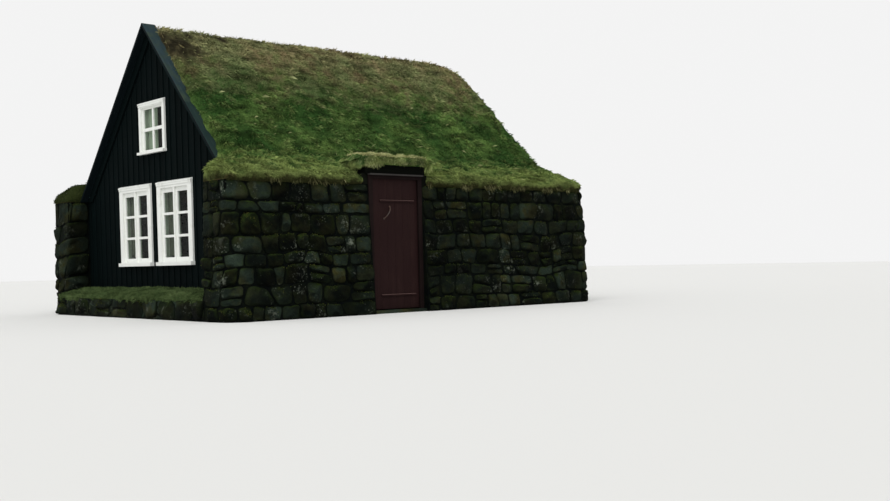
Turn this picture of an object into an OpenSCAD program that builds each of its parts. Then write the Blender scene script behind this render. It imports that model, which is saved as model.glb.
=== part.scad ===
// Turf house: a small gabled farmhouse with dry-stone walls, a tarred board gable and a turf roof.
// +Z is up, the board gable faces -Y and the door is in the +X wall.
// The origin is on the ground, at the middle of the walls' outline.

/* [Walls] */
// Width over the two side walls at the ground
house_w = 5400; // [5200:20:5800]
// Length from the right wing's front end to the rear wall's outer face
house_l = 6100; // [5700:20:7000]
// Thickness of the side and rear walls at the ground
wall_t = 1050; // [1000:5:1120]
// Height of the stone walls
wall_h = 1620; // [1590:5:1700]
// How far the walls' outer faces lean in over their height
batter = 120; // [60:5:180]
// Radius of the walls' rounded outer corners
corner_r = 250; // [120:10:320]
// Thickness of the wings that run out beside the gable
wing_t = 590; // [540:5:640]
// How far the right wing runs out in front of the gable boards
right_wing = 500; // [420:5:640]
// How far the left wing runs out in front of the gable boards
left_wing = 340; // [260:5:420]
// How far the wings' front ends lean back over their height
end_lean = 40; // [10:5:80]

/* [Front ledge] */
// Height of the ledge stones in front of the gable
ledge_h = 250; // [200:5:320]
// Height of the footing stones under the gable frame
footing_h = 220; // [180:5:240]
// Thickness of the ledge's turf at its front edge
ledge_turf_t = 35; // [20:5:60]
// How much higher the ledge's turf is against the boards
ledge_rise = 70; // [30:5:110]

/* [Roof] */
// Pitch of the roof
pitch = 46.5; // [43:0.5:50]
// Depth of a rafter, square to the slope
rafter_d = 90; // [70:2:120]
// Width of a rafter
rafter_w = 60; // [45:1:80]
// Number of common rafter pairs behind the gable
rafter_pairs = 6; // [4:1:8]
// Height of the wall plates
plate_h = 80; // [60:2:100]
// Width of the wall plates
plate_w = 90; // [80:2:94]
// Depth of the notch where a rafter sits on its plate
birdsmouth = 44; // [30:1:56]
// Thickness of the ridge board
ridge_board_t = 40; // [25:1:60]
// Depth of the ridge board
ridge_board_d = 190; // [150:5:240]
// Thickness of the roof boarding under the turf
sarking_t = 24; // [18:1:32]
// Space left between the boarding and the timbers under it
seat_gap = 0.1; // [0.05:0.05:0.3]
// How far the roof boarding bears on the rear gable
sarking_lap = 100; // [60:5:150]

/* [Turf] */
// Thickness of the roof's turf, square to the slope
turf_t = 162; // [140:2:200]
// Radius of the rounded turf ridge
ridge_r = 250; // [150:10:320]
// Radius at the ridge's rounded rear end
rear_r = 450; // [300:10:600]
// How far the turf's rear end stands inside the rear wall's foot, at the ridge
rear_setback = 280; // [220:5:340]
// Pitch of the turf on top of the side walls
shoulder_pitch = 22; // [16:1:26]
// Radius of the hollow where the roof slope meets the wall-top turf
shoulder_r = 600; // [300:20:800]
// How far the turf hangs over the top of the walls
turf_over = 40; // [20:2:60]
// Radius of the turf's rounded edge
turf_lip_r = 45; // [30:1:60]
// Radius at the wings' rounded turf fronts
wing_turf_r = 250; // [150:10:320]
// Height of the roof's grown hummocks above the turf between them
hummock_h = 38; // [25:1:50]
// Width of a hummock at its foot
hummock_w = 370; // [260:10:400]
// Distance between hummocks, along the roof and down its slope
hummock_step = 480; // [430:10:560]

/* [Gable] */
// Thickness of the gable's upright boards
board_t = 25; // [18:1:32]
// Thickness of the gable's timber frame
frame_t = 100; // [80:2:120]
// Height of the gable's sill beam
sill_beam_h = 110; // [80:5:140]
// Width of the gable's posts
post_w = 100; // [80:2:110]
// Height of the gable's tie beam
tie_h = 110; // [90:2:130]
// How far the verge caps lie below the roof turf's slope, measured upright
verge_drop = 82; // [60:1:120]
// Thickness of the verge caps
cap_t = 30; // [20:1:40]
// How far the verge caps stand out in front of the boards
cap_over = 120; // [80:5:150]
// Width of the verge caps, along the ridge
cap_w = 190; // [160:5:300]
// Thickness of the barge boards
barge_t = 25; // [18:1:35]
// Depth of the barge boards, square to the slope
barge_d = 120; // [80:5:160]

/* [Windows] */
// Width over the casing of a lower window
low_win_w = 930; // [880:5:1000]
// Height over the casing of a lower window
low_win_h = 1070; // [1000:5:1100]
// Space between the two lower windows' casings
low_win_gap = 180; // [140:5:220]
// Width over the casing of the upper window
top_win_w = 720; // [640:5:780]
// Height over the casing of the upper window
top_win_h = 665; // [560:5:690]
// Distance from the rafters' peak down to the upper window's lowest edge
top_win_drop = 1335; // [1300:5:1350]
// Width of the lower casings' side boards
casing_w = 100; // [85:1:115]
// Height of the lower casings' head board
casing_head = 60; // [50:1:80]
// Height of the lower windows' sills
sill_h = 48; // [35:1:55]
// Width of the upper casing's side boards
top_casing_w = 62; // [50:1:75]
// Height of the upper casing's head board
top_casing_head = 44; // [35:1:60]
// Height of the upper window's sill
top_sill_h = 32; // [30:1:45]
// Thickness of the casings in front of the boards
casing_t = 25; // [18:1:35]
// How far the sills stand out in front of the casings
sill_out = 35; // [20:1:50]
// How far the sills run past the casings at each side
sill_ear = 10; // [5:1:20]
// Thickness of the drip board on a casing's head
drip_t = 16; // [12:1:24]
// How far the drip boards stand out in front of the casings
drip_out = 12; // [8:1:20]
// How far the drip boards run past the casings at each side
drip_ear = 5; // [3:1:12]
// Thickness of the window boxes' sides
box_t = 24; // [20:1:28]
// Width of the post between a lower window's two sashes
mullion_w = 30; // [24:1:40]
// Thickness of the sashes
sash_t = 38; // [32:1:44]
// How far the sashes stand back from the casings' front
sash_back = 26; // [20:1:32]
// Width of the sashes' stiles
stile_w = 43; // [36:1:55]
// Height of the lower sashes' top and bottom rails
rail_h = 58; // [45:1:65]
// Height of the upper sash's top and bottom rails
top_rail_h = 26; // [22:1:40]
// Width of the glazing bars
bar_w = 32; // [24:1:40]
// Width of the upper sash's glazing bars
top_bar_w = 42; // [32:1:48]
// How far the glass stands back from its sash's front
glass_back = 18; // [14:1:22]
// Thickness of the glass
glass_t = 4; // [3:0.5:6]
// How far the glass laps behind the edges of its panes
glass_lap = 9; // [6:1:12]
// Thickness taken up by a hanging curtain
curtain_t = 14; // [10:1:20]
// Distance that a curtain drawn aside reaches into its window
drawn_w = 110; // [80:5:140]
// Space left at each side of a curtain
curtain_gap = 8; // [4:1:14]
// Space left where a fixed piece drops into its frame
fit_gap = 0.3; // [0.2:0.05:0.4]

/* [Doorway] */
// Distance from the gable boards' front to the middle of the door
door_back = 1995; // [1800:5:2300]
// Width over the door frame
door_frame_w = 860; // [840:2:900]
// Width of the door frame's posts
jamb_w = 50; // [45:1:60]
// Height of the frame's head
door_head_h = 30; // [25:1:45]
// How far the underside of the frame's head stands above the top of the wall
door_rise = 85; // [50:1:110]
// Thickness of the door's planks
leaf_t = 34; // [28:1:40]
// Gap round the closed door
leaf_gap = 7; // [6:0.5:8]
// Gap under the door
leaf_sole_gap = 12; // [8:1:20]
// Width of the stop that the closed door meets
stop_w = 14; // [12:1:16]
// Thickness of the frame's stop, along the passage
stop_t = 24; // [18:1:30]
// How far the frame's outer face stands inside the wall's foot
frame_back = 100; // [90:2:110]
// Thickness of the passage's flagstones
flag_t = 40; // [30:1:60]
// Thickness of the two outer ledges on the door
ledge_t = 18; // [12:1:24]
// Height of the door's outer ledges
door_ledge_h = 34; // [24:1:44]
// Distance from the door's free edge to its ledges
ledge_free_in = 130; // [100:2:160]
// Distance from the door's hinged edge to its ledges
ledge_hinge_in = 60; // [40:2:80]
// Height of the upper ledge's top edge above the door's foot
upper_ledge_top = 1385; // [1360:5:1450]
// Height of the lower ledge's top edge above the door's foot
lower_ledge_top = 195; // [150:5:240]

/* [Hood over the door] */
// Width of the timbers beside the doorway, on top of the wall
cheek_w = 100; // [80:2:120]
// Thickness of the drip board over the door
door_drip_t = 18; // [14:1:24]
// How far the drip board stands out from the frame
door_drip_out = 40; // [20:1:50]
// Height and depth of each head beam
head_beam = 118; // [100:2:140]
// How far the head beams bear on the timbers beside the doorway
beam_lap = 45; // [30:1:70]
// Thickness of the passage's roof planks
ceiling_t = 25; // [20:1:35]
// Thickness of the turf on the head beams
hood_t = 90; // [70:5:140]
// How far the hood's turf hangs out over the front head beam
hood_over = 30; // [15:1:40]

/* [Ironwork] */
// Radius of the hinge pins
pin_r = 7; // [5:0.5:9]
// Clearance round a hinge pin
pin_gap = 0.3; // [0.2:0.05:0.5]
// Wall of the hinge eyes
eye_wall = 5; // [4:0.5:6]
// Height of a hinge eye and of its strap
strap_h = 40; // [30:1:50]
// Thickness of the straps and plates
strap_t = 6; // [4:0.5:8]
// Length of the straps on the door
strap_l = 520; // [400:10:620]
// Height of the lower hinge above the door's foot
low_hinge = 320; // [240:5:420]
// Height of the upper hinge above the door's foot
high_hinge = 1250; // [1100:5:1350]
// Length between the door pull's two ends
pull_l = 175; // [140:5:180]
// How far the door pull bows out
pull_bow = 50; // [40:1:60]
// Radius of the door pull's bar
pull_r = 7; // [5:0.5:9]
// Height of the door pull's lower end above the door's foot
pull_z = 1130; // [1000:2:1140]
// Distance from the door's free edge to the pull
pull_margin = 245; // [200:5:280]
// Lean of the door pull from upright
pull_lean = 32; // [0:1:40]

/* [Floors] */
// Height of the floor's sleepers
sleeper_h = 70; // [50:2:85]
// Width of the floor's sleepers
sleeper_w = 100; // [80:5:120]
// Number of sleepers
sleepers = 5; // [4:1:7]
// Thickness of the floor boards
floor_t = 25; // [20:1:32]
// Gap between the floors and the walls
floor_gap = 10; // [6:1:16]
// Width of the loft's tie beams
tie_w = 90; // [70:2:110]
// Length of the loft's hatch, along the ridge
hatch_l = 800; // [700:10:900]
// Width of the loft's hatch
hatch_w = 700; // [600:10:800]

/* [Hidden] */
$fn = 48;

stone = [0.20, 0.20, 0.18];
dark_stone = [0.15, 0.15, 0.14];
turf = [0.24, 0.31, 0.12];
dry_turf = [0.36, 0.37, 0.17];
tar = [0.05, 0.06, 0.07];
verge_paint = [0.17, 0.22, 0.26];
white_paint = [0.88, 0.90, 0.88];
raw_wood = [0.42, 0.33, 0.24];
grey_wood = [0.35, 0.32, 0.28];
old_beam = [0.10, 0.08, 0.07];
red_paint = [0.23, 0.11, 0.10];
pane = [0.55, 0.65, 0.68, 0.4];
net = [0.75, 0.75, 0.72];
iron = [0.25, 0.23, 0.21];

// Plan
out_x = house_w / 2;
in_x = out_x - wall_t;
top_x = out_x - batter;
wing_x = out_x - wing_t;
front_y = -house_l / 2;
rear_y = house_l / 2;
gable_y = front_y + right_wing;
left_front_y = gable_y - left_wing;
boards_y = gable_y + board_t;
room_y = boards_y + frame_t;
room_rear_y = rear_y - wall_t;
rear_top_y = rear_y - batter;

// Roof planes: each apex is where a plane would meet its mirror image over the centre line
rise = tan(pitch);
slant = 1 / cos(pitch);
plate_x = in_x + plate_w;
plate_top = wall_h + plate_h;
rafter_apex = plate_top - birdsmouth + plate_x * rise;
timber_apex = rafter_apex + rafter_d * slant;
boarding_apex = timber_apex + seat_gap * slant;
turf_foot_apex = boarding_apex + sarking_t * slant;
turf_apex = turf_foot_apex + turf_t * slant;
cap_apex = turf_apex - verge_drop;
cap_front_y = gable_y - cap_over;
cap_back_y = cap_front_y + cap_w;
ridge_top = turf_apex - ridge_r * (slant - 1);
eave_x = top_x + turf_over;
sarking_rear_y = room_rear_y + sarking_lap;

// Windows: width and height over the casing, then its side boards, its head board and its sill
low_win = [low_win_w, low_win_h, casing_w, casing_head, sill_h];
top_win = [top_win_w, top_win_h, top_casing_w, top_casing_head, top_sill_h];
low_win_x = (low_win_w + low_win_gap) / 2;
low_win_z = plate_top - box_t + casing_head - low_win_h;
top_win_z = rafter_apex - top_win_drop;
casing_y = gable_y - casing_t;
sash_y = casing_y + sash_back;
glass_y = sash_y + glass_back;
curtain_y = boards_y + frame_t / 2;

// Doorway
door_y = gable_y + door_back;
door_y0 = door_y - door_frame_w / 2;
door_y1 = door_y + door_frame_w / 2;
clear_y0 = door_y0 + jamb_w;
clear_y1 = door_y1 - jamb_w;
frame_x1 = out_x - frame_back;
leaf_x1 = frame_x1 - stop_t - leaf_gap;
leaf_x0 = leaf_x1 - leaf_t;
leaf_y0 = clear_y0 + leaf_gap;
leaf_y1 = clear_y1 - leaf_gap;
door_clear_h = wall_h + door_rise;
leaf_z0 = flag_t + leaf_sole_gap;
leaf_z1 = door_clear_h - leaf_gap;
head_top = door_clear_h + door_head_h;
cheek_top = head_top + door_drip_t;
cheek_y0 = door_y0 - cheek_w;
cheek_y1 = door_y1 + cheek_w;
beam_x1 = frame_x1 + 10;
beam_top = cheek_top + head_beam;
beam_gap = 4;
inner_beam_x0 = beam_x1 - 2 * head_beam - beam_gap;
hinge_x = leaf_x0 - pin_r - eye_wall - 2;
hinge_y = leaf_y1 + leaf_gap / 2;
eye_r = pin_r + pin_gap + eye_wall;
hinge_heights = [leaf_z0 + low_hinge, leaf_z0 + high_hinge];

// Floors
floor_top = sleeper_h + floor_t;
loft_z = plate_top + tie_h;

// Heights of the roof's planes at a distance from the centre line
function plane_z(apex, x) = apex - x * rise;
function plane_x(apex, z) = (apex - z) / rise;

// Width and height of the opening inside a window's casing, and the width over its box
function clear_w(win) = win[0] - 2 * win[2];
function clear_h(win) = win[1] - win[3] - win[4];
function box_w(win) = clear_w(win) + 2 * box_t;

// Points along an arc
function arc(c, r, a0, a1, n) =
  [for (i = [0:n]) [c[0] + r * cos(a0 + (a1 - a0) * i / n), c[1] + r * sin(a0 + (a1 - a0) * i / n)]];

// Extrudes an outline drawn in X and Z along Y, or one drawn in Y and Z along X
module along_y(y0, y1) translate([0, y1, 0]) rotate([90, 0, 0]) linear_extrude(y1 - y0) children();
module along_x(x0, x1) translate([x0, 0, 0]) rotate([90, 0, 90]) linear_extrude(x1 - x0) children();
module box(a, b) translate(a) cube(b - a);
module left_side() mirror([1, 0, 0]) children();

// A length along the roof's slope between two parallel planes, on the right side
module slope_slab(low_apex, high_apex, x0, x1, y0, y1)
  along_y(y0, y1) polygon([
    [x0, plane_z(low_apex, x0)], [x1, plane_z(low_apex, x1)],
    [x1, plane_z(high_apex, x1)], [x0, plane_z(high_apex, x0)]]);

// The space that the leaning outer faces of the walls leave, from a given front end
module leaning_faces(end_y)
  intersection() {
    along_y(front_y, rear_y)
      polygon([[-out_x, 0], [out_x, 0], [top_x, wall_h], [-top_x, wall_h]]);
    along_x(-out_x, out_x)
      polygon([[end_y, 0], [rear_y, 0], [rear_top_y, wall_h], [end_y + end_lean, wall_h]]);
  }

// Plan of the right side wall with rounded outer corners and its wing
module side_wall_plan(end_y)
  polygon(concat(
    [[in_x, room_y], [wing_x, room_y], [wing_x, end_y]],
    arc([out_x - corner_r, end_y + corner_r], corner_r, -90, 0, 8),
    arc([out_x - corner_r, rear_y - corner_r], corner_r, 0, 90, 8),
    [[in_x, rear_y]]));

module side_wall(end_y, y0, y1)
  intersection() {
    leaning_faces(end_y);
    linear_extrude(wall_h) side_wall_plan(end_y);
    box([0, y0, 0], [out_x, y1, wall_h]);
  }

module right_wall_front() color(stone) side_wall(front_y, front_y, door_y0);
module right_wall_rear() color(stone) side_wall(front_y, door_y1, rear_y);
module left_wall() color(stone) left_side() side_wall(left_front_y, left_front_y, rear_y);

module rear_wall()
  color(dark_stone) intersection() {
    leaning_faces(front_y);
    box([-in_x, room_rear_y, 0], [in_x, rear_y, wall_h]);
  }

// Rear end of all the turf: rounded at the ridge and leaning like the wall below it
module rear_end_shape(x0, x1)
  along_x(x0, x1) polygon(concat(
    [[front_y, wall_h], [front_y, ridge_top]],
    arc([rear_y - rear_setback - rear_r, ridge_top - rear_r], rear_r, 90, 0, 10),
    [[rear_top_y, wall_h]]));

module rear_gable_turf()
  color(turf) intersection() {
    rear_end_shape(-out_x, out_x);
    union() {
      along_y(room_rear_y, rear_y) polygon([
        [-plane_x(timber_apex, wall_h), wall_h], [plane_x(timber_apex, wall_h), wall_h],
        [0, timber_apex]]);
      along_y(sarking_rear_y, rear_y) polygon([
        [-plane_x(turf_foot_apex, wall_h), wall_h], [plane_x(turf_foot_apex, wall_h), wall_h],
        [0, turf_foot_apex]]);
    }
  }

module front_ledge()
  color(dark_stone) along_x(-wing_x, wing_x) polygon([
    [front_y, 0], [room_y, 0], [room_y, footing_h], [gable_y, footing_h], [gable_y, ledge_h],
    [front_y + end_lean / 2, ledge_h]]);

module front_ledge_turf()
  color(dry_turf) along_x(-wing_x, wing_x) polygon([
    [front_y + end_lean / 2, ledge_h], [gable_y, ledge_h],
    [gable_y, ledge_h + ledge_turf_t + ledge_rise],
    [front_y + end_lean, ledge_h + ledge_turf_t]]);

// Outline of the boarded gable, up to the underside of the verge caps
module gable_outline()
  polygon([
    [-wing_x, footing_h], [wing_x, footing_h], [wing_x, plane_z(cap_apex, wing_x)],
    [0, cap_apex], [-wing_x, plane_z(cap_apex, wing_x)]]);

// Rectangle of a window's box, in the gable's plane
module box_outline(win, shrink = 0)
  translate([0, win[4] + clear_h(win) / 2])
    square([box_w(win) - 2 * shrink, clear_h(win) + 2 * box_t - 2 * shrink], center = true);

module at_windows() {
  translate([-low_win_x, low_win_z]) children(0);
  translate([low_win_x, low_win_z]) children(0);
  translate([0, top_win_z]) children(1);
}

module gable_boards()
  color(tar) along_y(gable_y, boards_y) difference() {
    gable_outline();
    at_windows() {
      box_outline(low_win);
      box_outline(top_win);
    }
  }

module gable_sill_beam()
  color(grey_wood) box([-wing_x, boards_y, footing_h], [wing_x, room_y, footing_h + sill_beam_h]);

// Uprights of the gable frame: at the corners, beside the windows and beside the upper window
module gable_posts() {
  top_box_w = box_w(top_win);
  side_x = low_win_x + box_w(low_win) / 2;
  middle_x = low_win_x - box_w(low_win) / 2;
  color(grey_wood) {
    for (s = [-1, 1]) {
      translate([s * (wing_x - post_w / 2), 0, 0]) upright(post_w, footing_h + sill_beam_h, wall_h);
      translate([s * (side_x + post_w / 2), 0, 0]) upright(post_w, footing_h + sill_beam_h, plate_top);
      translate([s * (top_box_w + post_w) / 2, 0, 0])
        upright(post_w, plate_top + tie_h, plane_z(rafter_apex, (top_box_w + post_w) / 2 + post_w / 2));
    }
    upright(2 * middle_x, footing_h + sill_beam_h, plate_top);
  }
}

module upright(w, z0, z1) box([-w / 2, boards_y, z0], [w / 2, room_y, z1]);

// Cross timbers of the gable frame: the tie beam, the rails under the windows and the collar
module gable_rails() {
  low_box_w = box_w(low_win);
  top_box_w = box_w(top_win);
  rail_top = low_win_z + sill_h - box_t;
  sill_rail_top = top_win_z + top_sill_h - box_t;
  collar_z = sill_rail_top + clear_h(top_win) + 2 * box_t;
  color(grey_wood) {
    along_y(boards_y, room_y) tie_outline(wing_x);
    for (s = [-1, 1])
      translate([s * low_win_x, 0, 0])
        box([-low_box_w / 2, boards_y, rail_top - post_w], [low_box_w / 2, room_y, rail_top]);
    box([-top_box_w / 2, boards_y, sill_rail_top - post_w], [top_box_w / 2, room_y, sill_rail_top]);
    box([-top_box_w / 2, boards_y, collar_z], [top_box_w / 2, room_y, collar_z + post_w]);
  }
}

// A cross beam on the plates, with its ends cut to the roof's slope under the boarding
module tie_outline(end_x)
  intersection() {
    translate([-end_x, plate_top]) square([2 * end_x, tie_h]);
    polygon([
      [-plane_x(timber_apex, wall_h), wall_h], [plane_x(timber_apex, wall_h), wall_h],
      [0, timber_apex]]);
  }

// Right rafter: level cuts on its plate and on the wall top, upright cut at the ridge board
module rafter(y0, y1)
  along_y(y0, y1) polygon([
    [ridge_board_t / 2, plane_z(rafter_apex, ridge_board_t / 2)],
    [plane_x(rafter_apex, plate_top), plate_top], [plate_x, plate_top],
    [plate_x, plane_z(rafter_apex, plate_x)],
    [plane_x(rafter_apex, wall_h), wall_h], [plane_x(timber_apex, wall_h), wall_h],
    [ridge_board_t / 2, plane_z(timber_apex, ridge_board_t / 2)]]);

// End rafters over the gable frame, standing on its tie beam
module gable_rafters()
  color(grey_wood) for (side = [0, 1]) mirror([side, 0, 0])
    difference() {
      rafter(boards_y, room_y);
      box([0, boards_y - 1, 0], [out_x, room_y + 1, loft_z]);
    }

module wall_plates()
  color(raw_wood) for (side = [0, 1]) mirror([side, 0, 0])
    box([in_x, room_y, wall_h], [plate_x, room_rear_y, plate_top]);

// Common rafters share the room's length, and the last pair lies against the rear gable
rafter_step = (room_rear_y - rafter_w - room_y) / rafter_pairs;
rafter_ys = [for (i = [1:rafter_pairs]) room_y + i * rafter_step];

// Space taken out of the roof for the passage behind the door
module doorway_cut() box([plate_x, cheek_y0, wall_h], [out_x, cheek_y1, ridge_top]);

module rafters()
  color(raw_wood) {
    for (y = rafter_ys) {
      left_side() rafter(y, y + rafter_w);
      difference() {
        rafter(y, y + rafter_w);
        doorway_cut();
      }
    }
  }

module ridge_board() {
  top = plane_z(timber_apex, ridge_board_t / 2);
  color(raw_wood) box([-ridge_board_t / 2, boards_y, top - ridge_board_d],
                      [ridge_board_t / 2, room_rear_y, top]);
}

// Each tie beam lies beside a rafter pair and rests on both plates
module tie_beams()
  color(raw_wood) for (i = [0:2:rafter_pairs - 1])
    along_y(rafter_ys[i] - tie_w, rafter_ys[i]) tie_outline(plate_x);

// The lower edge of the boarding is cut level on the wall top
module sarking_foot()
  intersection() {
    slope_slab(boarding_apex, turf_foot_apex, 0, plane_x(turf_foot_apex, wall_h),
               boards_y, sarking_rear_y);
    box([0, boards_y, wall_h], [out_x, sarking_rear_y, turf_apex]);
  }

module sarking_right()
  color(raw_wood) difference() {
    sarking_foot();
    doorway_cut();
  }
module sarking_left() color(raw_wood) left_side() sarking_foot();

// Turf section on the right side: rounded ridge, slope, hollow shoulder over the wall, round lip
lip = [eave_x - turf_lip_r, wall_h + turf_lip_r];
lip_angle = 90 - shoulder_pitch;
shoulder_apex = lip[1] + turf_lip_r / cos(shoulder_pitch) + lip[0] * tan(shoulder_pitch);
hollow_x = (turf_apex - shoulder_apex) / (rise - tan(shoulder_pitch));
hollow_z = plane_z(turf_apex, hollow_x);
hollow_tangent = shoulder_r * tan((pitch - shoulder_pitch) / 2);
hollow_c = [
  hollow_x - hollow_tangent * cos(pitch) + shoulder_r * sin(pitch),
  hollow_z + hollow_tangent * sin(pitch) + shoulder_r * cos(pitch)];

module turf_section()
  polygon(concat(
    [[0, turf_foot_apex]],
    arc([0, turf_apex - ridge_r * slant], ridge_r, 90, 90 - pitch, 8),
    arc(hollow_c, shoulder_r, 270 - pitch, 270 - shoulder_pitch, 5),
    arc(lip, turf_lip_r, lip_angle, -90, 8),
    [[plane_x(turf_foot_apex, wall_h), wall_h]]));

// Hummocks stand on the straight part of the slope, in staggered rows below the ridge's round
hummock_shift = 40;
hummock_reach = 0.55 * hummock_w + hummock_shift;
hummock_s0 = ridge_r * rise + hummock_reach;
hummock_s1 = hollow_x * slant - hollow_tangent - hummock_reach;
hummock_y0 = cap_back_y + hummock_reach;
hummock_y1 = rear_y - rear_setback - rear_r / 2 - hummock_reach;
hummock_rows = round((hummock_s1 - hummock_s0) / hummock_step);
hummock_columns = round((hummock_y1 - hummock_y0) / hummock_step);

// Steady variation between -1 and 1 from one hummock to the next
function wobble(row, column) = sin(97 * row + 149 * column);

// A hummock square to the slope, at a distance s down from the roof planes' meeting line
module hummock(s, y, size, turn) {
  sunk = 15;
  x = s * cos(pitch);
  translate([x, y, plane_z(turf_apex, x)]) rotate([0, pitch, 0]) rotate([0, 0, turn])
    translate([0, 0, -sunk])
      cylinder(r1 = size * hummock_w / 2, r2 = size * hummock_w / 4, h = size * hummock_h + sunk, $fn = 6);
}

function beside_hood(s, y) = s * cos(pitch) + hummock_reach > plate_x
  && y > cheek_y0 - hummock_reach && y < cheek_y1 + hummock_reach;

// Rows of hummocks on the right slope, which leave the hood over the door clear if there is one
module hummocks(hood) {
  row_step = (hummock_s1 - hummock_s0) / hummock_rows;
  column_step = (hummock_y1 - hummock_y0) / hummock_columns;
  for (row = [0:hummock_rows], column = [0:hummock_columns - row % 2]) {
    s = hummock_s0 + row * row_step;
    y = hummock_y0 + (column + (row % 2) / 2) * column_step;
    if (!hood || !beside_hood(s, y))
      hummock(s + hummock_shift * wobble(column, row), y + hummock_shift * wobble(row, column),
              1 + 0.1 * wobble(row, column + 1), 30 * wobble(row + 1, column));
  }
}

// Turf on one side: the slope, the strip under the verge cap and the wing's mound
module roof_turf(end_y, hood)
  intersection() {
    union() {
      hummocks(hood);
      along_y(cap_back_y, rear_y) turf_section();
      along_y(boards_y, cap_back_y) intersection() {
        turf_section();
        polygon([[0, 0], [wing_x, 0], [wing_x, plane_z(cap_apex, wing_x)], [0, cap_apex]]);
      }
      intersection() {
        along_y(end_y, cap_back_y) turf_section();
        box([wing_x, end_y, wall_h], [out_x, cap_back_y, turf_apex]);
        along_x(wing_x, out_x) polygon(concat(
          [[end_y + end_lean, wall_h]],
          arc([end_y + end_lean + wing_turf_r, wall_h], wing_turf_r, 180, 90, 8),
          [[cap_back_y, wall_h + wing_turf_r], [cap_back_y, wall_h]]));
      }
    }
    rear_end_shape(0, out_x);
    linear_extrude(turf_apex) polygon(concat(
      [[0, front_y], [eave_x, front_y]],
      arc([eave_x - corner_r, rear_y - corner_r], corner_r, 0, 90, 8),
      [[0, rear_y]]));
  }

module roof_turf_right()
  color(turf) difference() {
    roof_turf(front_y, true);
    doorway_cut();
  }
module roof_turf_left() color(turf) left_side() roof_turf(left_front_y, false);

module verge_cap()
  intersection() {
    slope_slab(cap_apex, cap_apex + cap_t * slant, 0, wing_x, cap_front_y, cap_back_y);
    box([0, cap_front_y, wall_h], [wing_x, cap_back_y, turf_apex]);
  }
module verge_cap_right() color(verge_paint) verge_cap();
module verge_cap_left() color(verge_paint) left_side() verge_cap();

module barge_board()
  intersection() {
    slope_slab(cap_apex - barge_d * slant, cap_apex, 0, wing_x, gable_y - barge_t, gable_y);
    box([0, gable_y - barge_t, wall_h], [wing_x, gable_y, turf_apex]);
  }
module barge_board_right() color(tar) barge_board();
module barge_board_left() color(tar) left_side() barge_board();

module floor_sleepers() {
  step = (room_rear_y - room_y - 2 * floor_gap - sleeper_w) / (sleepers - 1);
  color(raw_wood) for (i = [0:sleepers - 1])
    translate([0, room_y + floor_gap + i * step, 0])
      box([-in_x + floor_gap, 0, 0], [in_x - floor_gap, sleeper_w, sleeper_h]);
}

module floor_boards()
  color(raw_wood) box([-in_x + floor_gap, room_y + floor_gap, sleeper_h],
                      [in_x - floor_gap, room_rear_y - floor_gap, floor_top]);

// The loft's boards reach to the rafters' undersides, with a hatch by the rear wall
module loft_floor() {
  loft_x = plane_x(rafter_apex, loft_z + floor_t);
  color(raw_wood) difference() {
    box([-loft_x, room_y, loft_z], [loft_x, room_rear_y, loft_z + floor_t]);
    box([-hatch_w / 2, room_rear_y - hatch_l, loft_z - 1],
        [hatch_w / 2, room_rear_y + 1, loft_z + floor_t + 1]);
  }
}

// Casing of a window that stands with its lowest edge at z = 0, with its box behind it
module casing(win, mullion) {
  half_w = win[0] / 2;
  sill = win[4];
  color(white_paint) {
    along_y(casing_y, gable_y) difference() {
      translate([-half_w, sill]) square([win[0], win[1] - sill]);
      translate([-clear_w(win) / 2, sill]) square([clear_w(win), clear_h(win)]);
    }
    box([-half_w - sill_ear, casing_y - sill_out, 0], [half_w + sill_ear, gable_y, sill]);
    along_x(-half_w - drip_ear, half_w + drip_ear) polygon([
      [gable_y, win[1]], [gable_y, win[1] + 2 * drip_t], [casing_y - drip_out, win[1] + drip_t],
      [casing_y - drip_out, win[1]]]);
    along_y(gable_y, room_y) difference() {
      box_outline(win);
      box_outline(win, box_t);
    }
    if (mullion > 0)
      box([-mullion / 2, casing_y, sill], [mullion / 2, sash_y + sash_t, sill + clear_h(win)]);
  }
}

module left_window_casing() translate([-low_win_x, 0, low_win_z]) casing(low_win, mullion_w);
module right_window_casing() translate([low_win_x, 0, low_win_z]) casing(low_win, mullion_w);
module upper_window_casing() translate([0, 0, top_win_z]) casing(top_win, 0);

// A sash with its lower left corner at the origin of its own plane. The glass lies in its rebate
module sash(w, h, columns, rows, rail, bar) {
  pane_w = (w - 2 * stile_w - (columns - 1) * bar) / columns;
  pane_h = (h - 2 * rail - (rows - 1) * bar) / rows;
  along_y(sash_y, glass_y) difference() {
    square([w, h]);
    for (c = [0:columns - 1], r = [0:rows - 1])
      translate([stile_w + c * (pane_w + bar), rail + r * (pane_h + bar)]) square([pane_w, pane_h]);
  }
  along_y(glass_y, sash_y + sash_t) difference() {
    square([w, h]);
    sheet_outline(w, h, rail, fit_gap);
  }
}

// Outline of the glass behind all the panes of a sash
module sheet_outline(w, h, rail, gap = 0)
  translate([stile_w - glass_lap - gap, rail - glass_lap - gap])
    square([w - 2 * (stile_w - glass_lap - gap), h - 2 * (rail - glass_lap - gap)]);

module sheet(w, h, rail) along_y(glass_y, glass_y + glass_t) sheet_outline(w, h, rail);

// Sizes of a sash that drops into its box with a small gap all round
low_sash_w = (clear_w(low_win) - mullion_w) / 2 - 2 * fit_gap;
low_sash_h = clear_h(low_win) - 2 * fit_gap;
top_sash_w = clear_w(top_win) - 2 * fit_gap;
top_sash_h = clear_h(top_win) - 2 * fit_gap;

// Places children at the two sashes of a lower window
module at_low_sashes(x)
  for (s = [-1, 1])
    translate([x + s * (mullion_w / 2 + fit_gap + low_sash_w / 2) - low_sash_w / 2, 0,
               low_win_z + sill_h + fit_gap]) children();

module at_top_sash() translate([-top_sash_w / 2, 0, top_win_z + top_sill_h + fit_gap]) children();

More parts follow.
